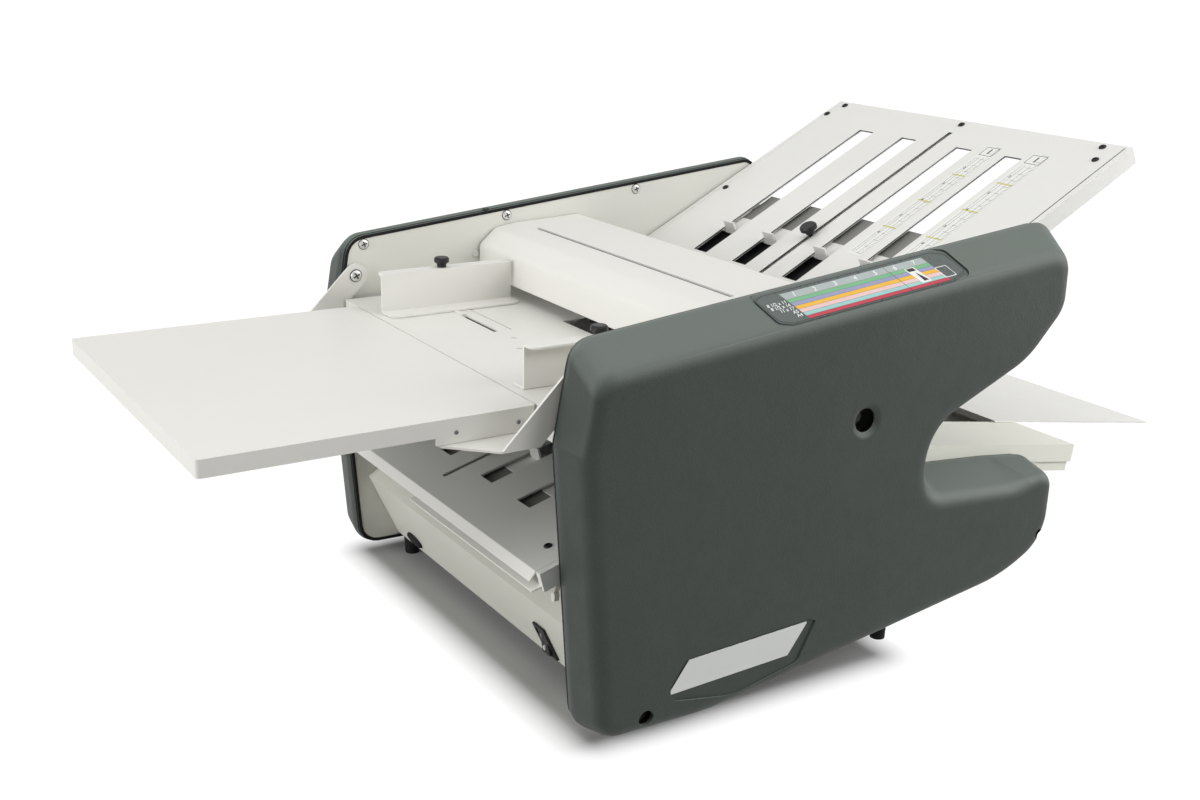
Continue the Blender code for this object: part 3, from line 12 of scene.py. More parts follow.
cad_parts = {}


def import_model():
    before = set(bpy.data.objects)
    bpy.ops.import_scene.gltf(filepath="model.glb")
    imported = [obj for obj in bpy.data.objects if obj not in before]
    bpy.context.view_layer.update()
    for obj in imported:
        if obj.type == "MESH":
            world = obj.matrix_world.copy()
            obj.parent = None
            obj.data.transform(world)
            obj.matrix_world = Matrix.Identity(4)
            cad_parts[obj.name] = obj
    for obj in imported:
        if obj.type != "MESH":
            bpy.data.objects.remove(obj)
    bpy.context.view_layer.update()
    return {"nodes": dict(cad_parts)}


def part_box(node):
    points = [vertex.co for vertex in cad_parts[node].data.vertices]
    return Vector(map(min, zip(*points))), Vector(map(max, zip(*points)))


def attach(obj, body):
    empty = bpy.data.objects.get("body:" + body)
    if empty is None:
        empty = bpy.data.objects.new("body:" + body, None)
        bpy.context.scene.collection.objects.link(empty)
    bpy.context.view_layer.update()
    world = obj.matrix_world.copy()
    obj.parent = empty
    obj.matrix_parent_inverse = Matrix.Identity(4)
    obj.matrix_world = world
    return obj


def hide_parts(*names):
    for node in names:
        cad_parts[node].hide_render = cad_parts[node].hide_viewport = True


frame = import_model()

nodes = frame["nodes"]

DATUM = Vector((-0.2227, 0.0, 0.289))
ORIGIN = Vector()
ACROSS = Vector((0.0, 1.0, 0.0))
SIDES = {"near": -1.0, "far": 1.0}
# Faces of the side frames' plates, in millimetres from the machine's middle
PLATE_OUTER = 180.0
PLATE_INNER = 178.0


def placed(x, y, z):
    """A place in millimetres from the datum, in the frame's metres."""
    return DATUM + Vector((x, y, z)) / 1000.0


def frame_with(origin, u, v, w):
    """Matrix of a frame at a place with three axes."""
    return Matrix.Translation(origin) @ Matrix((u, v, w)).transposed().to_4x4()


def frame_of(origin, along, up, out=None):
    """Frame with u along, v nearly up and w across them, turned over where w looks away from out."""
    u = Vector(along).normalized()
    w = u.cross(Vector(up)).normalized()
    place = frame_with(origin, u, w.cross(u), w)
    if out and w.dot(Vector(out)) < 0.0:
        place = place @ Matrix.Rotation(math.pi, 4, "X")
    return place


# Materials

def new_material(name):
    """A node material with its tree and shader."""
    made = bpy.data.materials.new(name)
    made.use_nodes = True
    tree = made.node_tree
    return made, tree, tree.nodes["Principled BSDF"]


def object_vector(tree, stretch=(1.0, 1.0, 1.0)):
    """Object coordinates, stretched."""
    coordinates = tree.nodes.new("ShaderNodeTexCoord")
    mapping = tree.nodes.new("ShaderNodeMapping")
    mapping.inputs["Scale"].default_value = stretch
    tree.links.new(coordinates.outputs["Object"], mapping.inputs["Vector"])
    return mapping.outputs["Vector"]


def noise(tree, vector, scale, detail=3.0):
    """Noise from 0 to 1 at a scale per metre."""
    node = tree.nodes.new("ShaderNodeTexNoise")
    node.inputs["Scale"].default_value = scale
    node.inputs["Detail"].default_value = detail
    tree.links.new(vector, node.inputs["Vector"])
    return node.outputs["Fac"]


def pebbles(tree, vector, scale):
    """Rounded cells, as moulded grain has."""
    node = tree.nodes.new("ShaderNodeTexVoronoi")
    node.feature = "SMOOTH_F1"
    node.inputs["Scale"].default_value = scale
    tree.links.new(vector, node.inputs["Vector"])
    return node.outputs["Distance"]


def spread(tree, value, low, high, start=0.3, end=0.7):
    """Map a value's range to another."""
    node = tree.nodes.new("ShaderNodeMapRange")
    for key, number in (("From Min", start), ("From Max", end), ("To Min", low), ("To Max", high)):
        node.inputs[key].default_value = number
    tree.links.new(value, node.inputs["Value"])
    return node.outputs["Result"]


def connect(tree, node, values):
    """Give a node's inputs their values in turn, each a socket, a number or a vector."""
    for socket, value in zip(node.inputs, values):
        if isinstance(value, bpy.types.NodeSocket):
            tree.links.new(value, socket)
        else:
            socket.default_value = value


def calculate(tree, operation, *values):
    """Sum, product or the like of sockets or numbers."""
    node = tree.nodes.new("ShaderNodeMath")
    node.operation = operation
    connect(tree, node, values)
    return node.outputs["Value"]


def calculate_vector(tree, operation, *values):
    """The same for vectors, where a dot product and a length give a number."""
    node = tree.nodes.new("ShaderNodeVectorMath")
    node.operation = operation
    connect(tree, node, values)
    return node.outputs["Value" if operation in ("DOT_PRODUCT", "LENGTH") else "Vector"]


def looking(tree, direction):
    """How far a surface looks in a direction, from -1 to 1."""
    normal = tree.nodes.new("ShaderNodeNewGeometry").outputs["Normal"]
    return calculate_vector(tree, "DOT_PRODUCT", normal, direction)


def distance_along(tree, start, direction):
    """Distance in metres along a direction from a place, as a socket."""
    place = tree.nodes.new("ShaderNodeTexCoord").outputs["Object"]
    reach = calculate_vector(tree, "DOT_PRODUCT", place, direction)
    return calculate(tree, "SUBTRACT", reach, start.dot(direction))


def within(tree, half_width):
    """Mask of what lies nearer to the machine's middle plane than a half width in metres."""
    aside = calculate(tree, "ABSOLUTE", distance_along(tree, ORIGIN, ACROSS))
    return calculate(tree, "LESS_THAN", aside, half_width)


def ray_mask(tree, *kinds):
    """Mask of rays of the kinds that are named."""
    rays = tree.nodes.new("ShaderNodeLightPath").outputs
    mask = rays[kinds[0]]
    for kind in kinds[1:]:
        mask = calculate(tree, "MAXIMUM", mask, rays[kind])
    return mask


def blend_colours(tree, factor, first, second):
    """Colour between two colours, each given as numbers or a socket."""
    node = tree.nodes.new("ShaderNodeMix")
    node.data_type = "RGBA"
    tree.links.new(factor, node.inputs["Factor"])
    colour_sockets = [socket for socket in node.inputs if socket.type == "RGBA"]
    for socket, colour in zip(colour_sockets, (first, second)):
        if isinstance(colour, tuple):
            socket.default_value = (*colour, 1.0)
        else:
            tree.links.new(colour, socket)
    return next(socket for socket in node.outputs if socket.type == "RGBA")


WEAR_RADIUS = 0.0009
WEAR_NOISE = 260.0
UNEVEN_NOISE = 70.0


def edge_mask(tree, strength):
    """Where edges are, from the difference between rounded and true normals."""
    bevel = tree.nodes.new("ShaderNodeBevel")
    bevel.samples = 4
    bevel.inputs["Radius"].default_value = WEAR_RADIUS
    return spread(tree, looking(tree, bevel.outputs["Normal"]), strength, 0.0, 0.70, 0.97)


def raise_surface(tree, shader, heights):
    """Chain of bumps, each given by its height socket and its depth in metres."""
    normal = None
    for height, depth in heights:
        node = tree.nodes.new("ShaderNodeBump")
        node.inputs["Distance"].default_value = depth
        tree.links.new(height, node.inputs["Height"])
        if normal:
            tree.links.new(normal, node.inputs["Normal"])
        normal = node.outputs["Normal"]
    tree.links.new(normal, shader.inputs["Normal"])


def shade(colour, factor):
    """A colour made lighter or darker."""
    return tuple(min(1.0, part * factor) for part in colour)


def surface(name, colour, roughness, metallic=0.0, tone=0.05, patch=12.0, grain=1100.0, depth=0.00002,
            pebbled=False, stretch=(1.0, 1.0, 1.0), rough_spread=0.06, edge=None, speck=0.0, gleam=0.5):
    """Painted, moulded or metal surface with colour patches, grain, varied gloss and worn edges.

    Noise scales are per metre. An edge is given by its colour and strength.
    """
    made, tree, shader = new_material(name)
    plain = object_vector(tree)
    drawn = object_vector(tree, stretch)
    patches = spread(tree, noise(tree, plain, patch, 4.0), 0.0, 1.0)
    body = blend_colours(tree, patches, shade(colour, 1.0 - tone), shade(colour, 1.0 + tone))
    fine = pebbles(tree, drawn, grain) if pebbled else noise(tree, drawn, grain, 2.0)
    if speck:
        flecks = spread(tree, noise(tree, drawn, grain * 0.6, 1.0), 0.0, 1.0, 0.35, 0.65)
        body = blend_colours(tree, calculate(tree, "MULTIPLY", flecks, speck), body, shade(colour, 1.9))
    if edge:
        ragged = spread(tree, noise(tree, plain, WEAR_NOISE), 0.3, 1.0)
        worn = calculate(tree, "MULTIPLY", edge_mask(tree, edge[1]), ragged)
        body = blend_colours(tree, worn, body, edge[0])
    tree.links.new(body, shader.inputs["Base Color"])
    gloss = noise(tree, drawn, patch * 6.0, 3.0)
    low, high = roughness - rough_spread, roughness + rough_spread
    tree.links.new(spread(tree, gloss, low, high), shader.inputs["Roughness"])
    shader.inputs["Metallic"].default_value = metallic
    shader.inputs["Specular IOR Level"].default_value = gleam
    raise_surface(tree, shader, [(noise(tree, plain, UNEVEN_NOISE, 1.0), depth * 2.0), (fine, depth)])
    return made


cream = surface("cream_enamel", (0.80, 0.79, 0.745), 0.36, tone=0.012, patch=5.0, grain=1300.0,
                depth=0.000012, edge=((0.86, 0.85, 0.82), 0.5), rough_spread=0.05)
frame_cream = surface("frame_enamel", (0.76, 0.755, 0.70), 0.40, tone=0.018, patch=5.0, grain=1300.0,
                      depth=0.000014, edge=((0.84, 0.83, 0.79), 0.5))
base_cream = surface("base_enamel", (0.82, 0.82, 0.73), 0.38, tone=0.02, patch=5.0, grain=1200.0,
                     depth=0.000014, edge=((0.80, 0.80, 0.72), 0.5))
plate_cream = surface("fold_plate_enamel", (0.79, 0.785, 0.75), 0.42, tone=0.015, patch=6.0, grain=1500.0,
                      depth=0.00001, edge=((0.86, 0.86, 0.83), 0.4))
# A darker, greyer copy of the fold plate enamel for the lower fold table and its stop: painted shade.
shaded_lower_cream = surface("lower_plate_shaded_enamel", (0.72, 0.73, 0.70), 0.42, tone=0.02, patch=6.0, grain=1500.0,
                      depth=0.00001, edge=((0.78, 0.79, 0.76), 0.4))
cover_shade = surface("cover_moulding", (0.036, 0.0455, 0.0385), 0.52, tone=0.06, patch=9.0, grain=900.0,
                      depth=0.00011, pebbled=True, rough_spread=0.05, speck=0.10,
                      edge=((0.10, 0.12, 0.11), 0.3), gleam=0.35)
# The same near black serves the rubber parts and the sheets that paint shade under slots and windows.
black_rubber = surface("black_rubber", (0.012, 0.012, 0.013), 0.72, tone=0.15, patch=30.0, grain=1500.0,
                       depth=0.00003, gleam=0.2)
roller_rubber = surface("roller_rubber", (0.045, 0.044, 0.043), 0.62, tone=0.12, patch=20.0, grain=900.0,
                        depth=0.00003, stretch=(1.0, 0.15, 1.0))
black_plastic = surface("black_plastic", (0.015, 0.015, 0.016), 0.34, tone=0.10, patch=60.0, grain=2200.0,
                        edge=((0.05, 0.05, 0.055), 0.4), gleam=0.35)
zinc = surface("zinc_plate", (0.76, 0.76, 0.74), 0.36, metallic=0.6, tone=0.08, patch=80.0, grain=1600.0,
               depth=0.00001, rough_spread=0.10)
brushed = surface("brushed_bar", (0.60, 0.60, 0.60), 0.30, metallic=1.0, patch=30.0, grain=2400.0,
                  depth=0.000008, stretch=(1.0, 0.02, 1.0), rough_spread=0.08)
motor_grey = surface("motor_enamel", (0.20, 0.21, 0.22), 0.45, metallic=0.3, tone=0.08, patch=25.0,
                     grain=900.0, depth=0.00003, edge=((0.45, 0.45, 0.45), 0.5))
nylon = surface("nylon", (0.78, 0.77, 0.70), 0.45, tone=0.03, patch=30.0, grain=1500.0, depth=0.00001)
plate_metal = surface("bare_plate", (0.57, 0.585, 0.57), 0.36, metallic=0.55, tone=0.02, patch=20.0,
                      grain=2600.0, depth=0.000006, stretch=(0.05, 1.0, 1.0), rough_spread=0.05)
# The same black serves print ink, dark joints and the painted shade at the screws.
ink_and_shade_black = surface("ink_and_shade_black", (0.03, 0.03, 0.03), 0.5, tone=0.1, patch=200.0)
ink_white = surface("ink_white", (0.82, 0.83, 0.82), 0.45, tone=0.02, patch=200.0)
print_white = surface("printed_strip", (0.83, 0.83, 0.80), 0.40, tone=0.01, patch=40.0)


def two_tone(name, base, where, colour, roughness, metallic=0.0):
    """A copy of a surface that takes another colour and gloss where the mask that is given says so."""
    made = base.copy()
    made.name = name
    tree = made.node_tree
    inputs = tree.nodes["Principled BSDF"].inputs
    mask = where(tree)
    body, gloss = (inputs[key].links[0].from_socket for key in ("Base Color", "Roughness"))
    tree.links.new(blend_colours(tree, mask, body, colour), inputs["Base Color"])
    kept = calculate(tree, "MULTIPLY", gloss, calculate(tree, "SUBTRACT", 1.0, mask))
    changed = calculate(tree, "MULTIPLY", mask, roughness)
    tree.links.new(calculate(tree, "ADD", kept, changed), inputs["Roughness"])
    if metallic:
        tree.links.new(calculate(tree, "MULTIPLY", mask, metallic), inputs["Metallic"])
    return made


def painted_top_light(tree):
    """Mask of faces that look up, where a dark moulding or rubber is painted paler as a painted highlight of
    the light from above.
    """
    return spread(tree, looking(tree, (0.0, 0.0, 1.0)), 0.0, 1.0, 0.10, 0.70)


# Dark moulding and edge rubber painted paler on faces that look up: painted highlight.
edge_rubber = two_tone("edge_rubber", black_rubber, painted_top_light, (0.120, 0.142, 0.128), 0.60)
cover_plastic = two_tone("cover_moulding_top_lit", cover_shade, painted_top_light, (0.140, 0.164, 0.146), 0.50)


# Mesh building

def join_rows(mesh, low, high):
    """Faces between two closed rows of vertices."""
    for index in range(len(low)):
        following = (index + 1) % len(low)
        mesh.faces.new((low[index], low[following], high[following], high[index]))


def settled(mesh, place):
    """The bmesh with its faces looking outward, and moved to its place."""
    bmesh.ops.recalc_face_normals(mesh, faces=mesh.faces)
    if place:
        mesh.transform(place)
    return mesh


def closed(mesh, rows, place=None):
    """The bmesh made solid from rows of vertices."""
    for low, high in zip(rows, rows[1:]):
        join_rows(mesh, low, high)
    mesh.faces.new(rows[0][::-1])
    mesh.faces.new(rows[-1])
    return settled(mesh, place)


def outline_mesh(outline, w0, w1, place=None):
    """Solid of a flat outline between two heights, as a bmesh, with its ends made first."""
    mesh = bmesh.new()
    low, high = [[mesh.verts.new((u, v, w)) for u, v in outline] for w in (w0, w1)]
    mesh.faces.new(low[::-1])
    mesh.faces.new(high)
    join_rows(mesh, low, high)
    return settled(mesh, place)


def flat_mesh(outline, w0, w1, place=None):
    """The same for an outline in millimetres, with the heights in metres."""
    return outline_mesh(scaled(outline), w0, w1, place)


def ring_mesh(outer, inner, w, place):
    """Flat ring between two outlines in millimetres, as a bmesh."""
    mesh = bmesh.new()
    join_rows(mesh, *[[mesh.verts.new((u, v, w)) for u, v in scaled(row)] for row in (outer, inner)])
    mesh.transform(place)
    return mesh


def circle(mesh, radius, height, segments):
    """Row of vertices around w."""
    turns = [2.0 * math.pi * step / segments for step in range(segments)]
    return [mesh.verts.new((radius * math.cos(turn), radius * math.sin(turn), height)) for turn in turns]


def turned_mesh(profile, place=None, segments=24):
    """Solid turned about w from radii and heights, closed at both ends."""
    mesh = bmesh.new()
    return closed(mesh, [circle(mesh, *level, segments) for level in profile], place)


def into_data(mesh, name):
    """A bmesh as mesh data."""
    data = bpy.data.meshes.new(name)
    mesh.to_mesh(data)
    mesh.free()
    return data


def linked(name, data):
    """A new object of the scene."""
    obj = bpy.data.objects.new(name, data)
    bpy.context.scene.collection.objects.link(obj)
    return obj


def merged(meshes):
    """Several bmeshes as one."""
    whole = bmesh.new()
    for mesh in meshes:
        data = into_data(mesh, "part")
        whole.from_mesh(data)
        bpy.data.meshes.remove(data)
    return whole


def copies(data, places):
    """Mesh data repeated at several places, as one bmesh."""
    return merged(from_data(data, place) for place in places)


def rectangle(u0, u1, v0, v1):
    """Corners of a rectangle."""
    return [(u0, v0), (u1, v0), (u1, v1), (u0, v1)]


SIDE_SHARE = 0.48
SHARP_ANGLE = math.radians(32.0)


def rounded(corners, radius, segments=6):
    """Outline with round corners of one radius, or of one radius each, within a share of their sides."""
    radii = radius if isinstance(radius, (list, tuple)) else [radius] * len(corners)
    points = []
    for index, corner in enumerate(corners):
        here = Vector(corner)
        back = Vector(corners[index - 1]) - here
        ahead = Vector(corners[(index + 1) % len(corners)]) - here
        opening = back.angle(ahead)
        cut = min(radii[index] / math.tan(opening / 2.0), SIDE_SHARE * min(back.length, ahead.length))
        reach = cut * math.tan(opening / 2.0) / math.sin(opening / 2.0)
        middle = here + (back.normalized() + ahead.normalized()).normalized() * reach
        start = here + back.normalized() * cut - middle
        end = here + ahead.normalized() * cut - middle
        sweep = math.atan2(start.x * end.y - start.y * end.x, start.dot(end))
        for step in range(segments + 1):
            angle = sweep * step / segments
            points.append((
                middle.x + start.x * math.cos(angle) - start.y * math.sin(angle),
                middle.y + start.x * math.sin(angle) + start.y * math.cos(angle),
            ))
    return points


def scaled(points):
    """Millimetres to metres."""
    return [tuple(part * 0.001 for part in point) for point in points]


def add_piece(name, mesh, material, body, bevel=0.0, shaded=True):
    """Link a piece of the object, riding on a body."""
    data = into_data(mesh, name)
    data.materials.append(material)
    if shaded:
        data.shade_smooth()
        data.set_sharp_from_angle(angle=SHARP_ANGLE)
    obj = linked(name, data)
    if bevel:
        rounding = obj.modifiers.new("edges", "BEVEL")
        rounding.width = bevel
        rounding.segments = 2
        rounding.limit_method = "ANGLE"
        rounding.harden_normals = True
    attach(obj, body)
    return obj


def add_print(name, mesh, paint, body="base"):
    """Link a printed mark or a thin dark sheet, with flat shading."""
    add_piece(name, mesh, paint, body, shaded=False)


def baked(obj, name):
    """The object's mesh with its modifiers applied."""
    graph = bpy.context.evaluated_depsgraph_get()
    graph.update()
    data = bpy.data.meshes.new_from_object(obj.evaluated_get(graph))
    data.name = name
    return data


def cut_mesh(mesh, cutters):
    """A bmesh with other bmeshes cut out of it, as mesh data."""
    obj, *helpers = [linked("helper", into_data(part, "helper")) for part in [mesh, *cutters]]
    for helper in helpers:
        modifier = obj.modifiers.new("cut", "BOOLEAN")
        modifier.operation = "DIFFERENCE"
        modifier.solver = "EXACT"
        modifier.object = helper
    data = baked(obj, "cut")
    for used in [*helpers, obj]:
        bpy.data.objects.remove(used)
    return data


def from_data(data, place):
    """A bmesh of mesh data at a place."""
    mesh = bmesh.new()
    mesh.from_mesh(data)
    mesh.transform(place)
    return mesh


LETTER_RAISE = 0.00004
LETTER_WEIGHT = 0.018


def letters(text, size, place, align="CENTER"):
    """Raised figures as a bmesh, in a frame where u runs along the line."""
    curve = bpy.data.curves.new("letters", "FONT")
    curve.body = text
    curve.size = size
    curve.align_x = align
    curve.align_y = "CENTER"
    curve.extrude = LETTER_RAISE
    curve.offset = size * LETTER_WEIGHT
    obj = linked("letters", curve)
    data = baked(obj, "letters")
    bpy.data.objects.remove(obj)
    mesh = from_data(data, place)
    bpy.data.meshes.remove(data)
    return mesh


def cross_outline(radius):
    """Outline of a screw's cross recess."""
    arm, half = radius * 0.62, radius * 0.15
    points = [(arm, -half), (arm, half), (half, half)]
    while len(points) < 12:
        points += [(-y, x) for x, y in points[-3:]]
    return points


def screw_shade(radius, height):
    """Painted shade on the floor of a screw's recess and a painted contact shadow around its head, as mesh
    data.
    """
    contact_shadow = turned_mesh([(radius * 1.02, 0.0), (radius * 1.13, 0.00004), (radius * 1.02, 0.00008)])
    recess_shade_and_contact_shadow = merged([outline_mesh(cross_outline(radius), height * 0.70, height * 0.82), contact_shadow])
    return into_data(recess_shade_and_contact_shadow, "shade")


def screw_head(radius, height):
    """Pan head with a cross recess, as mesh data with its face up."""
    turns = [math.pi / 2.0 * step / 6.0 for step in range(1, 6)]
    crown = [(0.35 + 0.65 * math.cos(turn), 0.25 + 0.75 * math.sin(turn)) for turn in turns]
    profile = [(radius * 0.96, 0.0), (radius, height * 0.18)]
    profile += [(radius * across, height * up) for across, up in crown] + [(radius * 0.2, height)]
    recess = outline_mesh(cross_outline(radius), height * 0.12, height * 1.5)
    return cut_mesh(turned_mesh(profile), [recess])


# Side covers, with the soft ridges that the plain solids only sketch

# Millimetres, and shares of the cover's box
COVER_LENGTH = 444.5
COVER_HEIGHT = 326.1
COVER_START = (-17.5, -280.5)
COVER_CORNER_SHARES = (
    (0.027, 0.861), (0.000, 0.647), (0.040, 0.005), (0.253, 0.000), (0.894, 0.123),
    (1.009, 0.202), (1.009, 0.405), (0.900, 0.4235), (0.686, 0.448), (0.693, 0.563),
    (0.908, 0.686), (1.000, 0.820), (0.995, 1.000),
)
COVER_RADIUS_SHARES = (0.045, 0.05, 0.045, 0.40, 0.30, 0.09, 0.03, 0.20, 0.055, 0.09, 0.16, 0.06, 0.04)
RIDGE_CORNER_SHARES = (
    (0.030, 0.806), (0.010, 0.646), (0.049, 0.019), (0.252, 0.014), (0.904, 0.136),
    (1.008, 0.208), (1.008, 0.3987), (0.9213, 0.3665), (0.6815, 0.393), (0.692, 0.564),
    (0.907, 0.687), (0.985, 0.800), (0.981, 0.9425),
)
FRONT_EDGES = 2
COVER_RADII = [share * COVER_LENGTH for share in COVER_RADIUS_SHARES]


def on_cover(shares):
    """X and Z, in millimetres from the datum, of places given as shares of the cover's box."""
    return [(COVER_START[0] + x * COVER_LENGTH, COVER_START[1] + z * COVER_HEIGHT) for x, z in shares]


COVER_CORNERS = on_cover(COVER_CORNER_SHARES)
RIDGE_CORNERS = on_cover(RIDGE_CORNER_SHARES)
ARC_STEPS = 12
# Depths outward from the frame's plate, and insets from the rim's outline
COVER_FACE = 36.0
RIDGE_DEPTH = 34.5
FRONT_FALL = 0.5
EDGE_DEPTH = 0.3
EDGE_INSET = 1.5
RIM_DEPTH = 6.0
COVER_WALL = 3.0
FACE_INSET = 12.0
# Reaches along both legs and steps of the soft turns at the rim and at the ridge
RIM_TURN = (3.0, 3.5, 4)
RIDGE_TURN = (8.0, 8.0, 7)


def inset_corners(corners, insets):
    """Each edge of an anticlockwise outline moved inward by its inset."""
    count = len(corners)
    moved = []
    for index in range(count):
        here = Vector(corners[index])
        before = (here - Vector(corners[index - 1])).normalized()
        after = (Vector(corners[(index + 1) % count]) - here).normalized()
        in_before = Vector((-before.y, before.x)) * insets[index - 1]
        in_after = Vector((-after.y, after.x)) * insets[index]
        cross = before.x * after.y - before.y * after.x
        along = (in_after - in_before).cross(after) / cross if abs(cross) > 0.02 else 0.0
        moved.append(tuple(here + in_before + before * along))
    return moved


def inset_radii(corners, inset):
    """The rim's radii, smaller at convex corners and larger at hollow ones."""
    found = []
    count = len(corners)
    for index, radius in enumerate(COVER_RADII):
        here = Vector(corners[index])
        before = here - Vector(corners[index - 1])
        after = Vector(corners[(index + 1) % count]) - here
        sign = 1.0 if before.cross(after) > 0.0 else -1.0
        found.append(max(radius - sign * inset, 0.25 * radius))
    return found


def inset_outline(corners, inset):
    """A cover outline moved inward and rounded."""
    moved = inset_corners(corners, [inset] * len(corners))
    return rounded(moved, inset_radii(corners, inset), ARC_STEPS)


def ridge_points(extra, share):
    """The ridge moved inward, with each point's depth from the ridge's own to the face's."""
    points = []
    for index, (x, z) in enumerate(inset_outline(RIDGE_CORNERS, extra)):
        corner, step = divmod(index, ARC_STEPS + 1)
        step /= ARC_STEPS
        frontness = (1.0 - step) * (0 < corner <= FRONT_EDGES) + step * (corner < FRONT_EDGES)
        ridge = RIDGE_DEPTH - FRONT_FALL * frontness
        points.append(Vector((x, z, ridge + (COVER_FACE - ridge) * share)))
    return points


def soft_turn(before, corner, after, reach_in, reach_out, steps):
    """Points of a soft turn at a corner of a profile."""
    back, ahead = before - corner, after - corner
    start = corner + back.normalized() * min(reach_in, 0.6 * back.length)
    end = corner + ahead.normalized() * min(reach_out, 0.9 * ahead.length)
    shares = [step / steps for step in range(steps + 1)]
    return [start * (1 - s) ** 2 + corner * 2 * s * (1 - s) + end * s * s for s in shares]


def cover_mesh():
    """The cover's closed shell, with x, z and depth as its coordinates in metres."""
    low, rim, inner = (
        [Vector((x, z, depth)) for x, z in inset_outline(COVER_CORNERS, inset)]
        for inset, depth in ((EDGE_INSET, EDGE_DEPTH), (0.0, RIM_DEPTH), (COVER_WALL, EDGE_DEPTH)))
    ridge = ridge_points(0.0, 0.0)
    face = ridge_points(FACE_INSET, 1.0)
    wall = Vector((0.0, 0.0, COVER_WALL))
    inner_ridge = [point - wall for point in ridge_points(COVER_WALL, 0.0)]
    inner_face = [point - wall for point in ridge_points(FACE_INSET + COVER_WALL, 1.0)]
    columns = []
    for a, b, c, d, e, f, g in zip(inner_face, inner_ridge, inner, low, rim, ridge, face):
        columns.append([a, b, c, d, *soft_turn(d, e, f, *RIM_TURN), *soft_turn(e, f, g, *RIDGE_TURN), g])
    mesh = bmesh.new()
    return closed(mesh, [[mesh.verts.new(point / 1000.0) for point in row] for row in zip(*columns)])


def side_place(side):
    """Frame of a side: u is X, v is Z and w points out of the machine."""
    sign = SIDES[side]
    return frame_with(placed(0.0, sign * PLATE_OUTER, 0.0), (1, 0, 0), (0, 0, 1), (0, sign, 0))


TOP_START = Vector(COVER_CORNERS[0])
TOP_ALONG = (Vector(COVER_CORNERS[-1]) - TOP_START).normalized()
SHOULDER_DROP = 18.0
SHOULDER_OUT = 28.5


def shoulder_place():
    """Frame on the near cover's shoulder: u along the top edge, v up the slope, w out, in metres."""
    along = Vector((TOP_ALONG.x, 0.0, TOP_ALONG.y))
    up_slope = Vector((-TOP_ALONG.y * SHOULDER_DROP, SHOULDER_OUT, TOP_ALONG.x * SHOULDER_DROP))
    return frame_of(placed(TOP_START.x, -PLATE_OUTER - RIM_DEPTH, TOP_START.y), along, up_slope)


NAME_RECESS = on_cover(
    ((0.445, 0.176), (0.462, 0.166), (0.428, 0.074), (0.300, 0.040), (0.160, 0.075), (0.200, 0.160)))
NAME_RECESS_RADII = [1.5, 1.5, 8.0, 60.0, 10.0, 1.5]
NAME_PLATE = [(75.0, -229.3), (180.5, -225.3), (163.5, -248.5), (58.0, -252.5)]
LABEL_OUTLINE = [
    (139.0, -3.6), (145.5, -1.4), (303.0, -1.4), (313.0, -6.0), (318.6, -27.0), (303.5, -31.6),
    (154.5, -31.6), (145.0, -27.5),
]
POCKET_MARGIN = 2.6
POCKET_FLOOR = -0.0014
# X and Z in millimetres and radius in metres of the screw holes, and radii and depths of the dished hole
COVER_HOLES = ((40.7, -264.8, 0.0058), (420.3, -206.1, 0.0045))
PLUG_DEPTH = 0.0285
DISHED_HOLE_PLACE = Matrix.Translation((0.221, -0.079, 0.0))
DISHED_HOLE = [
    (0.0085, 0.018), (0.0085, 0.0325), (0.0093, 0.0338), (0.0115, 0.0348), (0.0150, 0.0362), (0.0150, 0.038),
]


def widened(outline, margin):
    """An outline around a middle, moved outward in u and in v."""
    middle = sum((Vector(point) for point in outline), Vector((0.0, 0.0))) / len(outline)
    return [(u + margin * (1 if u > middle.x else -1), v + margin * (1 if v > middle.y else -1))
            for u, v in outline]


def hole_place(x, z, depth=0.0):
    """A place in a side's frame, with x and z in millimetres."""
    return Matrix.Translation((x / 1000.0, z / 1000.0, depth))


def side_covers():
    """Both covers, cut as their plain solids are, with the label's pocket in the near one."""
    for side in SIDES:
        place = side_place(side)
        cutters = [
            turned_mesh([(radius, 0.018), (radius, 0.0352), (radius + 0.0007, 0.0372)], hole_place(x, z))
            for x, z, radius in COVER_HOLES
        ]
        if side == "near":
            cutters.append(turned_mesh(DISHED_HOLE, DISHED_HOLE_PLACE, 40))
            cutters.append(flat_mesh(rounded(NAME_RECESS, NAME_RECESS_RADII), 0.0346, 0.038))
            pocket = rounded(widened(LABEL_OUTLINE, POCKET_MARGIN), 6.0)
            cutters.append(flat_mesh(pocket, POCKET_FLOOR, 0.01, place.inverted() @ shoulder_place()))
        mesh = from_data(cut_mesh(cover_mesh(), cutters), place)
        bmesh.ops.recalc_face_normals(mesh, faces=mesh.faces)
        obj = add_piece("cover_shell_" + side, mesh, cover_plastic, "base")
        obj.modifiers.new("weighted", "WEIGHTED_NORMAL").keep_sharp = True
        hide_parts("cover_" + side)
        plugs = []
        for x, z, radius in COVER_HOLES:
            side_wall, edge = radius - 0.0003, radius - 0.0009
            profile = [(side_wall, -0.004), (side_wall, 0.0), (edge, 0.0007), (0.0015, 0.0008)]
            plugs.append(turned_mesh(profile, place @ hole_place(x, z, PLUG_DEPTH)))
        add_piece("cover_plugs_" + side, merged(plugs), black_plastic, "base")


def name_plate():
    """The bare plate in the near cover's recess."""
    plate = flat_mesh(rounded(NAME_PLATE, 0.9), 0.0347, 0.0354, side_place("near"))
    add_piece("name_plate", plate, plate_metal, "base", bevel=0.0002)


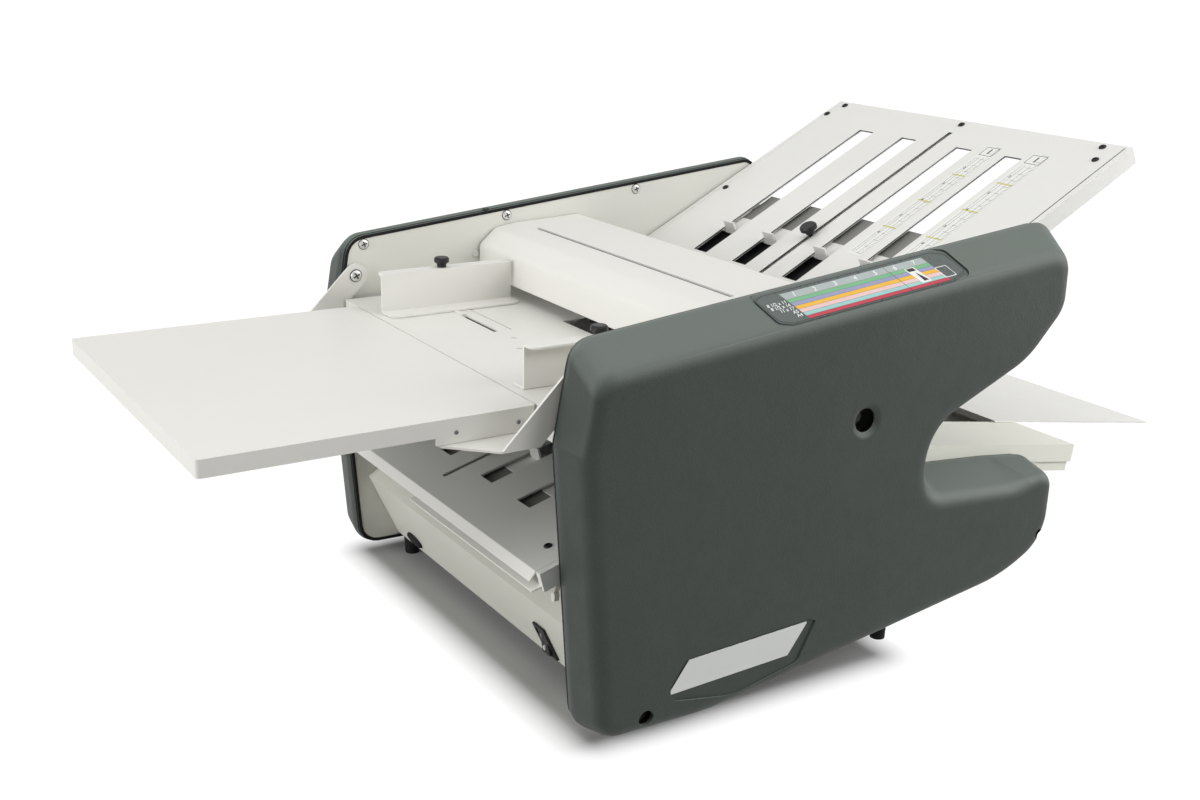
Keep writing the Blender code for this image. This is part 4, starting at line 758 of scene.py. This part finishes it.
# The label, in millimetres from the shoulder's frame, and the heights of its layers in metres
BAND_LEFT, BAND_RIGHT, BAND_LEAN = 160.5, 291.0, 9.0
BAND_TOP, BAND_BOTTOM, BAND_GAP = -4.4, -30.2, 0.22
BANDS = (
    ("header", (0.42, 0.47, 0.46), 1.75), ("green", (0.20, 0.47, 0.25), 1.0),
    ("lavender", (0.32, 0.33, 0.52), 0.95), ("amber", (0.83, 0.48, 0.055), 1.0),
    ("pink", (0.80, 0.55, 0.54), 1.0), ("aqua", (0.33, 0.60, 0.57), 0.95),
    ("crimson", (0.55, 0.055, 0.085), 0.85),
)
BAND_UNIT = (BAND_BOTTOM - BAND_TOP) / sum(share for _, _, share in BANDS)
PAPER_SIZES = ("8 1/2 x 11", "8 1/2 x 14", "11 x 17", "A5", "A4")
FIGURE_START, FIGURE_STEP, FIGURE_V = 171.5, 18.4, -7.6
PANEL_TOP, BAND_FACE, BOX_FACE, MARK_FACE = -0.00035, -0.00025, -0.00018, -0.00012
OUTLINE_LIFT, FIGURE_LIFT, SQUARE_LIFT = -0.00031, -0.00021, -0.0002
POINTER_BOX = [(275.5, -26.5), (284.5, -26.5), (278.5, -11.0), (269.5, -11.0)]
POINTER_MARKS = (
    ([(272.0, -14.6), (278.6, -14.6), (277.2, -11.6), (270.8, -11.6)], BOX_FACE, MARK_FACE),
    ([(278.4, -25.2), (283.0, -25.2), (276.6, -16.0)], BOX_FACE, MARK_FACE),
    ([(262.6, -30.0), (262.9, -30.0), (254.5, -4.6), (254.2, -4.6)], BAND_FACE, SQUARE_LIFT),
)
SQUARE_OUTER = [(297.5, -27.5), (308.5, -27.5), (305.5, -16.5), (294.5, -16.5)]
SQUARE_INNER = [(298.1, -26.9), (307.7, -26.9), (305.0, -17.1), (295.3, -17.1)]


def band_corner(side_u, v):
    """Corner of a band: the bands' ends lean."""
    return side_u + BAND_LEAN * (BAND_TOP - v) / (BAND_TOP - BAND_BOTTOM), v


def scale_label():
    """Size chart on the near cover's shoulder: coloured bands with figures, and a pointer box."""
    place = shoulder_place()
    panel_paint = surface("label_panel", (0.105, 0.125, 0.118), 0.30, tone=0.03, patch=30.0, grain=1500.0,
                          depth=0.000006)
    panel = flat_mesh(rounded(LABEL_OUTLINE, 3.5), POCKET_FLOOR, PANEL_TOP, place)
    add_piece("label_panel", panel, panel_paint, "base")
    rims = [rounded(widened(LABEL_OUTLINE, -margin), radius) for margin, radius in ((0.8, 3.0), (1.25, 2.8))]
    add_print("label_outline", ring_mesh(*rims, OUTLINE_LIFT, place), ink_and_shade_black)
    height = BAND_TOP
    for name, colour, share in BANDS:
        low, high = height + BAND_UNIT * share, height - BAND_GAP
        quad = [band_corner(*spot) for spot in rectangle(BAND_LEFT, BAND_RIGHT, low, high)]
        paint = surface("label_" + name, colour, 0.33, tone=0.03, patch=60.0, grain=1500.0, depth=0.000004)
        add_print("label_" + name, flat_mesh(quad, PANEL_TOP, BAND_FACE, place), paint)
        height = low
    figures = []
    lifted = place @ Matrix.Translation((0.0, 0.0, FIGURE_LIFT))
    for index, figure in enumerate("1234567"):
        spot = hole_place(FIGURE_START + FIGURE_STEP * index, FIGURE_V)
        figures.append(letters(figure, 0.0056, lifted @ spot))
    for index, text in enumerate(PAPER_SIZES):
        v = BAND_TOP + BAND_UNIT * (BANDS[0][2] + 0.98 * index + 0.5)
        spot = hole_place(band_corner(BAND_LEFT, v)[0] - 1.6, v)
        figures.append(letters(text, 0.0040, lifted @ spot, "RIGHT"))
    add_print("label_figures", merged(figures), ink_white)
    add_print("label_pointer_box", flat_mesh(POINTER_BOX, BAND_FACE, BOX_FACE, place), print_white)
    marks = merged(flat_mesh(outline, low, high, place) for outline, low, high in POINTER_MARKS)
    add_print("label_marks", marks, ink_and_shade_black)
    square = ring_mesh(rounded(SQUARE_OUTER, 0.8), rounded(SQUARE_INNER, 0.6), SQUARE_LIFT, place)
    add_print("label_square", square, ink_white)


# Small parts on the frames and tables

def top_edge(x):
    """Height of the covers' top edge, in millimetres from the datum."""
    return TOP_START.y + (x - TOP_START.x) * TOP_ALONG.y / TOP_ALONG.x


# Radii and heights in metres, and places along the frames in millimetres
COVER_SCREW = (0.0042, 0.0017)
COVER_SCREW_SPOTS = (10.5, 146.5, 282.5)
COVER_SCREW_DROP = 9.5
SCREWED_FACE = PLATE_INNER - 0.02


def looking_in(sign, x, y, z, turn=0.0):
    """Frame on one side's inner face, with u turned by its rise."""
    return frame_of(placed(x, sign * y, z), (sign, 0, turn), (0, 0, 1), (0, -sign, 0))


def frame_screws():
    """Screws of the covers and a plug, on the inner faces of both side frames."""
    head, dark = (make(*COVER_SCREW) for make in (screw_head, screw_shade))
    for side, sign in SIDES.items():
        places = [looking_in(sign, x, SCREWED_FACE, top_edge(x) - COVER_SCREW_DROP, 0.35)
                  for x in COVER_SCREW_SPOTS]
        add_piece("cover_screws_" + side, copies(head, places), zinc, "base")
        # Painted shade in the screws' recesses and painted contact shadows around their heads.
        add_print("cover_screw_shades_" + side, copies(dark, places), ink_and_shade_black)
        place = looking_in(sign, 115.5, SCREWED_FACE, -25.0)
        plug = turned_mesh([(0.0033, 0.0), (0.0033, 0.0006), (0.0026, 0.0012), (0.0008, 0.0014)], place)
        add_piece("frame_plug_" + side, plug, zinc, "base")


def skirt_screws():
    """Small screws on the skirts of the extension table."""
    places = [frame_of(placed(x, sign * 147.98, -61.4), (-sign, 0, 0), (0, 0, 1), (0, sign, 0))
              for sign in SIDES.values() for x in (-68.8, -23.4)]
    screws = copies(screw_head(0.0015, 0.0009), places)
    add_piece("skirt_screws", screws, motor_grey, "extension")


def table_place(tip, degrees):
    """A sloped table's frame: its tip, the direction up its slope and the one out of its face."""
    lean = math.radians(degrees)
    return tip, Vector((math.cos(lean), 0.0, math.sin(lean))), Vector((-math.sin(lean), 0.0, math.cos(lean)))


UPPER = table_place(placed(522.6, 0.0, 93.4), 27.4)
LOWER = table_place(placed(-21.7, 0.0, -159.7), 16.0)


# S and Y in millimetres: the scales' middle and half width, and the black screws
RULERS = ((-57.0, 8.5), (-108.5, 9.5))
UPPER_SCREWS = ((-6.3, 162.0), (-24.0, 169.6), (-6.7, 5.3), (-6.2, -150.4), (-24.3, -157.8), (-163.6, 165.5),
                (-163.6, -165.5))
LOWER_SCREWS = ((22.0, 150.0), (22.0, -150.0), (190.0, 150.0), (190.0, -150.0))


def on_table(table, s, y, turned_by=0.0):
    """Frame on a table's top face at s and y in millimetres, u along it and w out of it."""
    tip, along, out = table
    origin = tip + along * s / 1000.0 + Vector((0.0, y / 1000.0, 0.0))
    return frame_with(origin, along, out.cross(along), out) @ Matrix.Rotation(turned_by, 4, "Z")


def fold_table_screws():
    """Black screws on both fold tables, each turned a little further."""
    head = screw_head(0.0031, 0.0015)
    tables = (("upper", UPPER, UPPER_SCREWS, 0.4), ("lower", LOWER, LOWER_SCREWS, 0.5))
    for name, table, spots, turn in tables:
        screws = copies(head, [on_table(table, *spot, turn * index) for index, spot in enumerate(spots)])
        add_piece(name + "_table_screws", screws, black_plastic, "base")


def ruler_strips():
    """Printed scales beside the upper table's windows, with plain ticks and figures."""
    strips, ticks, tints = [], [], []
    quarter = Matrix.Rotation(-math.pi / 2.0, 4, "Z")
    first, pitch, thin = -201.0, 2.0, 0.25
    for y, half in RULERS:
        place = on_table(UPPER, 0.0, y)
        strips.append(flat_mesh(rounded(rectangle(-204.0, -30.0, -half, half), 1.0), 0.00002, 0.00016, place))
        place = place @ Matrix.Translation((0.0, 0.0, 0.00018))
        edge = -half + 0.6
        lines = []
        for step in range(86):
            s, reach = first + pitch * step, half * (0.35 if step % 5 else 0.9)
            lines.append(rectangle(s, s + thin, edge, edge + reach))
        lines += [rectangle(first, -48.0, half * v, half * v + thin) for v in (-0.25, 0.28, 0.62)]
        ticks += [flat_mesh(line, 0.0, 0.00003, place) for line in lines]
        tints += [flat_mesh(rectangle(s, s + 1.6, edge, -edge), 0.0, 0.00002, place)
                  for s in (-162.0, -120.0, -78.0)]
        box = rectangle(-45.0, -32.0, -half + 1.5, half - 1.5)
        inner = rectangle(-44.4, -32.6, -half + 2.1, half - 2.1)
        ticks.append(ring_mesh(box, inner, 0.0, place))
        figures = [("1", 0.0105, -38.5, 0.0)]
        figures += [(figure, 0.0042, -170.0 + 26.0 * i, half * 0.45) for i, figure in enumerate("65432")]
        ticks += [letters(figure, size, place @ hole_place(s, v) @ quarter) for figure, size, s, v in figures]
    add_print("ruler_strips", merged(strips), print_white)
    add_print("ruler_marks", merged(ticks), ink_and_shade_black)
    tint = surface("ruler_tint", (0.62, 0.60, 0.16), 0.45, patch=60.0)
    add_print("ruler_tints", merged(tints), tint)


def dark_seams():
    """Joint of the far edge seal's two lengths, and seam of the upper table's plate and near rail."""
    top = top_edge(126.0)
    mark = flat_mesh(rectangle(124.0, 128.5, top - 1.2, top + 0.25), -0.0021, 0.0009, side_place("far"))
    add_print("seal_joint", mark, ink_and_shade_black)
    seam = flat_mesh(rectangle(-322.0, -3.0, -170.5, -169.6), 0.00001, 0.00005, on_table(UPPER, 0.0, 0.0))
    add_print("upper_table_seam", seam, ink_and_shade_black)


HOOD_SLOPE = math.radians(2.4)
HOOD_BEND = (152.5, -0.3)
HOOD_RIVETS = ((170.0, 146.0), (168.0, -138.0), (146.0, -150.0))


def hood_details():
    """The strip seen through the hood's slot, and rivets at the slot's ends."""
    _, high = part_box("roller_hood")
    place = frame_with(Vector((DATUM.x, 0.0, high.z - 0.0012)), (1, 0, 0), (0, 0, 1), (0, -1, 0))
    strip = flat_mesh(rectangle(158.1, 159.8, -3.2, -2.2), -0.139, 0.131, place)
    add_piece("hood_strip", strip, motor_grey, "hood")
    rivets = []
    for x, y in HOOD_RIVETS:
        z = HOOD_BEND[1] + (x - HOOD_BEND[0]) * math.tan(HOOD_SLOPE)
        place = Matrix.Translation(placed(x, y, z)) @ Matrix.Rotation(-HOOD_SLOPE, 4, "Y")
        rivets.append(turned_mesh([(0.0014, -0.0002), (0.0013, 0.0003), (0.0006, 0.0005)], place, 12))
    add_piece("hood_rivets", merged(rivets), zinc, "hood")


PANEL_LEAN = math.radians(25.1)
ROCKER_TILT = math.radians(9.0)
# The front panel's top edge before the rocker, and the rocker's distances from there in metres
ROCKER_EDGE = placed(10.2, -102.0, -214.0)
ROCKER_DOWN = 0.0435
ROCKER_DEEP = 0.004


def power_mark():
    """White bar and oval on the two halves of the power rocker, tilted as it rests."""
    down = Vector((math.sin(PANEL_LEAN), 0.0, -math.cos(PANEL_LEAN)))
    middle = ROCKER_EDGE + down * ROCKER_DOWN
    pivot = middle + Vector((math.cos(PANEL_LEAN), 0.0, math.sin(PANEL_LEAN))) * ROCKER_DEEP
    tilt = Matrix.Translation(pivot) @ Matrix.Rotation(ROCKER_TILT, 4, "Y") @ Matrix.Translation(-pivot)
    turns = [math.pi * step / 12.0 for step in range(24)]
    marks = []
    for v, half_width in ((-0.0056, 0.0003), (0.0056, 0.0013)):
        outline = [(half_width * math.cos(turn), 0.0022 * math.sin(turn)) for turn in turns]
        place = frame_of(middle + down * v, (0, 1, 0), -down, (-1, 0, 0))
        marks.append(outline_mesh(outline, 0.0026, 0.0040, tilt @ place))
    add_print("power_marks", merged(marks), ink_white, "rocker")


PIVOT_SCREW = (0.0048, 0.0021)


def pivot_screws():
    """Zinc screws with a cross recess, on which the extension's arms turn."""
    head, dark = (make(*PIVOT_SCREW) for make in (screw_head, screw_shade))
    for side, sign in SIDES.items():
        place = looking_in(sign, 1.0, 173.3, -32.6, 0.5)
        shank = turned_mesh([(0.003, -0.0044), (0.003, 0.0002)], place)
        screw = merged([from_data(head, place), shank])
        piece = add_piece("pivot_screw_head_" + side, screw, zinc, "base")
        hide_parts("pivot_screw_" + side)
        # Painted shade in the screw's recess and a painted contact shadow around its head.
        add_print("pivot_screw_shade_" + side, from_data(dark, place), ink_and_shade_black)


def feed_table_marks():
    """Two small slits in the feed table beside its roller, and a dark sheet under its slots: painted shade
    seen through them.
    """
    lean = Matrix.Rotation(math.radians(-33.0), 4, "Z")
    places = [Matrix.Translation(placed(x, y, -51.58)) @ lean for x, y in ((57.2, 3.3), (46.5, -24.4))]
    slits = [flat_mesh(rectangle(-2.2, 2.2, -0.45, 0.45), 0.0, 0.00006, place) for place in places]
    add_print("table_slits", merged(slits), motor_grey)
    # A near black sheet under the slots: painted shade.
    place = Matrix.Translation(placed(0.0, 0.0, -51.6))
    sheet = flat_mesh(rectangle(50.0, 114.0, -150.0, 150.0), -0.0154, -0.0150, place)
    add_piece("slot_shade", sheet, black_rubber, "base")


CLIP_LOOP = [(2.2, -176.0), (5.0, -172.6), (8.6, -173.0), (9.2, -177.6), (6.6, -182.6), (3.6, -184.0)]
CLIP_PAD = [(2.8, -184.4), (8.6, -182.2), (8.0, -189.0), (4.6, -190.4)]
CLIP_STEM = [(3.4, -175.4), (0.2, -169.6), (3.2, -169.4), (6.0, -173.2)]
CLIP_HALF = 0.55


def wire_clip():
    """Small open plastic clip under the lower fold table's lip."""
    path = [Vector(point) for point in CLIP_LOOP]
    outer, inner = [], []
    for index, point in enumerate(path):
        along = (path[min(index + 1, len(path) - 1)] - path[max(index - 1, 0)]).normalized()
        aside = Vector((-along.y, along.x)) * CLIP_HALF
        outer.append(tuple(point + aside))
        inner.append(tuple(point - aside))
    shapes = (outer + inner[::-1], rounded(CLIP_PAD, 1.4), CLIP_STEM)
    place = frame_with(placed(-3.0, -159.0, 2.0), (0, -1, 0), (0, 0, 1), (1, 0, 0))
    meshes = [flat_mesh(shape, -0.002, 0.002, place) for shape in shapes]
    add_piece("wire_clip", merged(meshes), nylon, "base", bevel=0.0002)


def bed_window_shade():
    """Dark sheet under the exit bed's window, painted shade of the interior seen through it."""
    _, along, up = table_place(ORIGIN, -9.1)
    place = frame_with(placed(498.0, 0.0, -154.3), along, ACROSS, up)
    sheet = flat_mesh(rectangle(-200.0, -12.0, -174.5, 174.5), -0.0225, -0.0215, place)
    add_piece("bed_window_shade", sheet, black_rubber, "base")


def carrier_mask(table, edge, sign):
    """Mask of what lies beyond an edge along a table, in millimetres."""
    tip, along, _ = table
    operation = "GREATER_THAN" if sign > 0 else "LESS_THAN"
    return lambda tree: calculate(tree, operation, distance_along(tree, tip, along), edge / 1000.0)


def guard_shade_mask(tree):
    """Mask of the guard sheet between the upper table's rails, painted near black as the shade under the
    table.
    """
    tip, _, out = UPPER
    deep = calculate(tree, "LESS_THAN", distance_along(tree, tip, out), -0.0088)
    return calculate(tree, "MULTIPLY", deep, within(tree, 0.1702))


def window_edge_shade(tree):
    """Mask of the upper plate's cut edges inside its windows, painted dark as shade."""
    tip, along, out = UPPER
    upright = calculate(tree, "LESS_THAN", calculate(tree, "ABSOLUTE", looking(tree, out)), 0.4)
    below_tip = calculate(tree, "LESS_THAN", distance_along(tree, tip, along), -0.008)
    inside = calculate(tree, "MULTIPLY", within(tree, 0.160), below_tip)
    return calculate(tree, "MULTIPLY", upright, inside)


def both(*stems):
    """Names of nodes that are there on both sides."""
    return [stem + "_" + side for stem in stems for side in SIDES]


def numbered(count, *stems):
    """Names of nodes that are numbered from 1."""
    return ["%s_%d" % (stem, index + 1) for stem in stems for index in range(count)]


def dress_nodes():
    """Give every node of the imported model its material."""
    grey, guard_shade_black = (0.27, 0.27, 0.255), (0.012, 0.012, 0.012)
    upper_stop = two_tone("upper_stop_sheet", plate_cream, carrier_mask(UPPER, -192.3, 1.0), grey, 0.40, 0.35)
    lower_stop = two_tone("lower_stop_sheet", shaded_lower_cream, carrier_mask(LOWER, 62.3, -1.0), grey, 0.40, 0.35)
    # The lower table's lip painted paler than its enamel: a painted highlight where it catches the light.
    lit_lip = carrier_mask(LOWER, 0.5, -1.0)
    lower_plate = two_tone("lower_plate_lit_lip", shaded_lower_cream, lit_lip, (0.93, 0.92, 0.87), 0.38)
    # Window edges of the upper plate painted near black: painted shade.
    upper_plate = two_tone("upper_plate_window_shade", plate_cream, window_edge_shade, (0.075, 0.090, 0.085), 0.50)
    # The guard sheet under the upper table painted near black: painted shade.
    upper_tray = two_tone("upper_tray_guard_shade", plate_cream, guard_shade_mask, guard_shade_black, 0.8)
    paints = {
        cream: ("extension_table", "feed_table", "roller_hood", *both("arm", "guide")),
        frame_cream: both("side_frame"),
        base_cream: ("base_pan", "exit_bed"),
        upper_plate: ("upper_fold_top",),
        plate_cream: ("exit_tray",),
        upper_tray: ("upper_fold_tray",),
        lower_plate: ("lower_fold_top", "lower_fold_tray"),
        upper_stop: ("upper_stop_bar",),
        lower_stop: ("lower_stop_bar",),
        cover_plastic: both("cover"),
        edge_rubber: both("edge_seal"),
        black_rubber: ("drive_belt", "feed_belt", "separator_pad", "cord_bushing",
                       *both("foot_front", "foot_rear")),
        roller_rubber: ("feed_roller", *numbered(4, "fold_roller")),
        black_plastic: ("upper_stop_knob", "lower_stop_knob", "switch_bezel", "switch_rocker",
                        *both("guide_knob")),
        zinc: ("motor_pulley", "separator_holder", *both("bearing_plate", "pivot_screw")),
        brushed: ("feed_shaft", "separator_bar", *numbered(2, "upper_tie_bar", "lower_tie_bar")),
        motor_grey: ("motor",),
        nylon: ("double_pulley", *numbered(4, "roller_gear")),
    }
    for paint, names in paints.items():
        for name in names:
            for slot in nodes[name].material_slots:
                slot.material = paint


side_covers()
name_plate()
scale_label()
frame_screws()
skirt_screws()
fold_table_screws()
ruler_strips()
hood_details()
power_mark()
pivot_screws()
feed_table_marks()
dark_seams()
wire_clip()
bed_window_shade()
dress_nodes()


# Floor, light and camera

BASE_MIDDLE = (-0.0775, 0.0, 0.0)
BASE_HALF = (0.1275, 0.185, 0.0)


def footprint_distance(tree, vector):
    """Distance on the floor from the rectangle under the machine's base."""
    folded = calculate_vector(tree, "ABSOLUTE", calculate_vector(tree, "SUBTRACT", vector, BASE_MIDDLE))
    beyond = calculate_vector(tree, "SUBTRACT", folded, BASE_HALF)
    return calculate_vector(tree, "LENGTH", calculate_vector(tree, "MAXIMUM", beyond, ORIGIN))


# Distances from the base, in metres, over which the floor's painted shadow fades to pale, and over which it
# turns white to the camera
PAINTED_SHADOW_REACH = (0.0, 0.024)
WHITE_REACH = (0.004, 0.036)
WHITE_STRENGTH = 1.06
FLOOR_RADII = (0.6, 3.0, 60.0)
FLOOR_STEPS = 96
# Greys of the floor at the base, a painted shadow, away from it, and to the light that it throws back
PAINTED_SHADOW_GREY, FLOOR_GREY, BOUNCE_GREY = ((level,) * 3 for level in (0.42, 0.92, 0.16))


def floor():
    """Floor that keeps the shadow near the base, darkens its colour there as a painted shadow, and is white
    to the camera away from it.
    """
    mesh = bmesh.new()
    rings = [circle(mesh, radius, 0.0, FLOOR_STEPS) for radius in FLOOR_RADII]
    mesh.faces.new(rings[0])
    for inner, outer in zip(rings, rings[1:]):
        join_rows(mesh, outer, inner)
    bmesh.ops.recalc_face_normals(mesh, faces=mesh.faces)
    obj = linked("floor", into_data(mesh, "floor"))
    paint, tree, shader = new_material("floor_paper")
    vector = object_vector(tree)
    tree.links.new(spread(tree, noise(tree, vector, 3.0), 0.75, 0.85), shader.inputs["Roughness"])
    distance = footprint_distance(tree, vector)
    seen = ray_mask(tree, "Is Camera Ray", "Is Glossy Ray", "Is Transmission Ray")
    # Floor colour darkened towards the base: painted shadow.
    pale = blend_colours(tree, spread(tree, distance, 0.0, 1.0, *PAINTED_SHADOW_REACH), PAINTED_SHADOW_GREY, FLOOR_GREY)
    tree.links.new(blend_colours(tree, seen, BOUNCE_GREY, pale), shader.inputs["Base Color"])
    white = tree.nodes.new("ShaderNodeEmission")
    white.inputs["Strength"].default_value = WHITE_STRENGTH
    chooser = tree.nodes.new("ShaderNodeMixShader")
    far = spread(tree, distance, 0.0, 1.0, *WHITE_REACH)
    tree.links.new(calculate(tree, "MULTIPLY", far, seen), chooser.inputs["Fac"])
    tree.links.new(shader.outputs["BSDF"], chooser.inputs[1])
    tree.links.new(white.outputs["Emission"], chooser.inputs[2])
    tree.links.new(chooser.outputs["Shader"], tree.nodes["Material Output"].inputs["Surface"])
    obj.data.materials.append(paint)


SKY_BRIGHT_SIDE = Vector((0.2, 0.85, 0.5)).normalized()
SKY_LEVELS = (0.14, 0.70)
SKY_REACH = (-0.6, 0.9)


def world():
    """White to the camera, and for the rest a soft sky that is brighter above and behind the machine."""
    made = bpy.data.worlds.new("studio")
    made.use_nodes = True
    tree = made.node_tree
    sky = tree.nodes["Background"]
    sky.inputs["Color"].default_value = (1.0,) * 4
    seen = ray_mask(tree, "Is Camera Ray", "Is Transmission Ray")
    view = tree.nodes.new("ShaderNodeTexCoord").outputs["Generated"]
    height = calculate_vector(tree, "DOT_PRODUCT", view, SKY_BRIGHT_SIDE)
    level = spread(tree, height, *SKY_LEVELS, *SKY_REACH)
    glow = calculate(tree, "MULTIPLY", calculate(tree, "SUBTRACT", 1.0, seen), level)
    tree.links.new(calculate(tree, "ADD", seen, glow), sky.inputs["Strength"])
    bpy.context.scene.world = made


def lamp(name, place, target, size, power):
    """Soft square lamp aimed at a point."""
    light = bpy.data.lights.new(name, "AREA")
    light.size = size
    light.energy = power
    obj = linked(name, light)
    obj.location = place
    obj.rotation_mode = "QUATERNION"
    obj.rotation_quaternion = (Vector(target) - Vector(place)).to_track_quat("-Z", "Y")


SENSOR_WIDTH = 36.0
FOCAL_PIXELS = 1446.6
PHOTO_WIDTH = 1200.0
CAMERA_PLACE = Vector((-0.68779, -0.92962, 0.53021))
CAMERA_RIGHT = (0.84463253, -0.53462276, 0.02782774)
CAMERA_UP = (0.14025364, 0.27114849, 0.95226436)
CAMERA_BACK = (-0.51664765, -0.80041052, 0.30400362)


def camera():
    """Camera calibrated from the photograph's edges."""
    data = bpy.data.cameras.new("camera")
    data.sensor_width = SENSOR_WIDTH
    data.lens = SENSOR_WIDTH * FOCAL_PIXELS / PHOTO_WIDTH
    data.clip_start = 0.05
    data.clip_end = 200.0
    obj = linked("camera", data)
    obj.matrix_world = frame_with(CAMERA_PLACE, CAMERA_RIGHT, CAMERA_UP, CAMERA_BACK)
    bpy.context.scene.camera = obj


floor()
world()
lamp("top_softbox", (-0.2, -0.3, 2.4), (0.0, 0.0, 0.2), 2.2, 12.5)
lamp("left_fill", (-2.6, 0.0, 0.8), (0.0, 0.0, 0.15), 1.8, 42.0)
lamp("right_fill", (1.1, -1.6, 1.2), (0.1, 0.0, 0.15), 1.3, 25.0)
lamp("side_fill", (1.7, -0.85, 0.5), (0.1, -0.1, 0.15), 0.8, 9.0)
camera()
bpy.context.scene.view_settings.view_transform = "Standard"
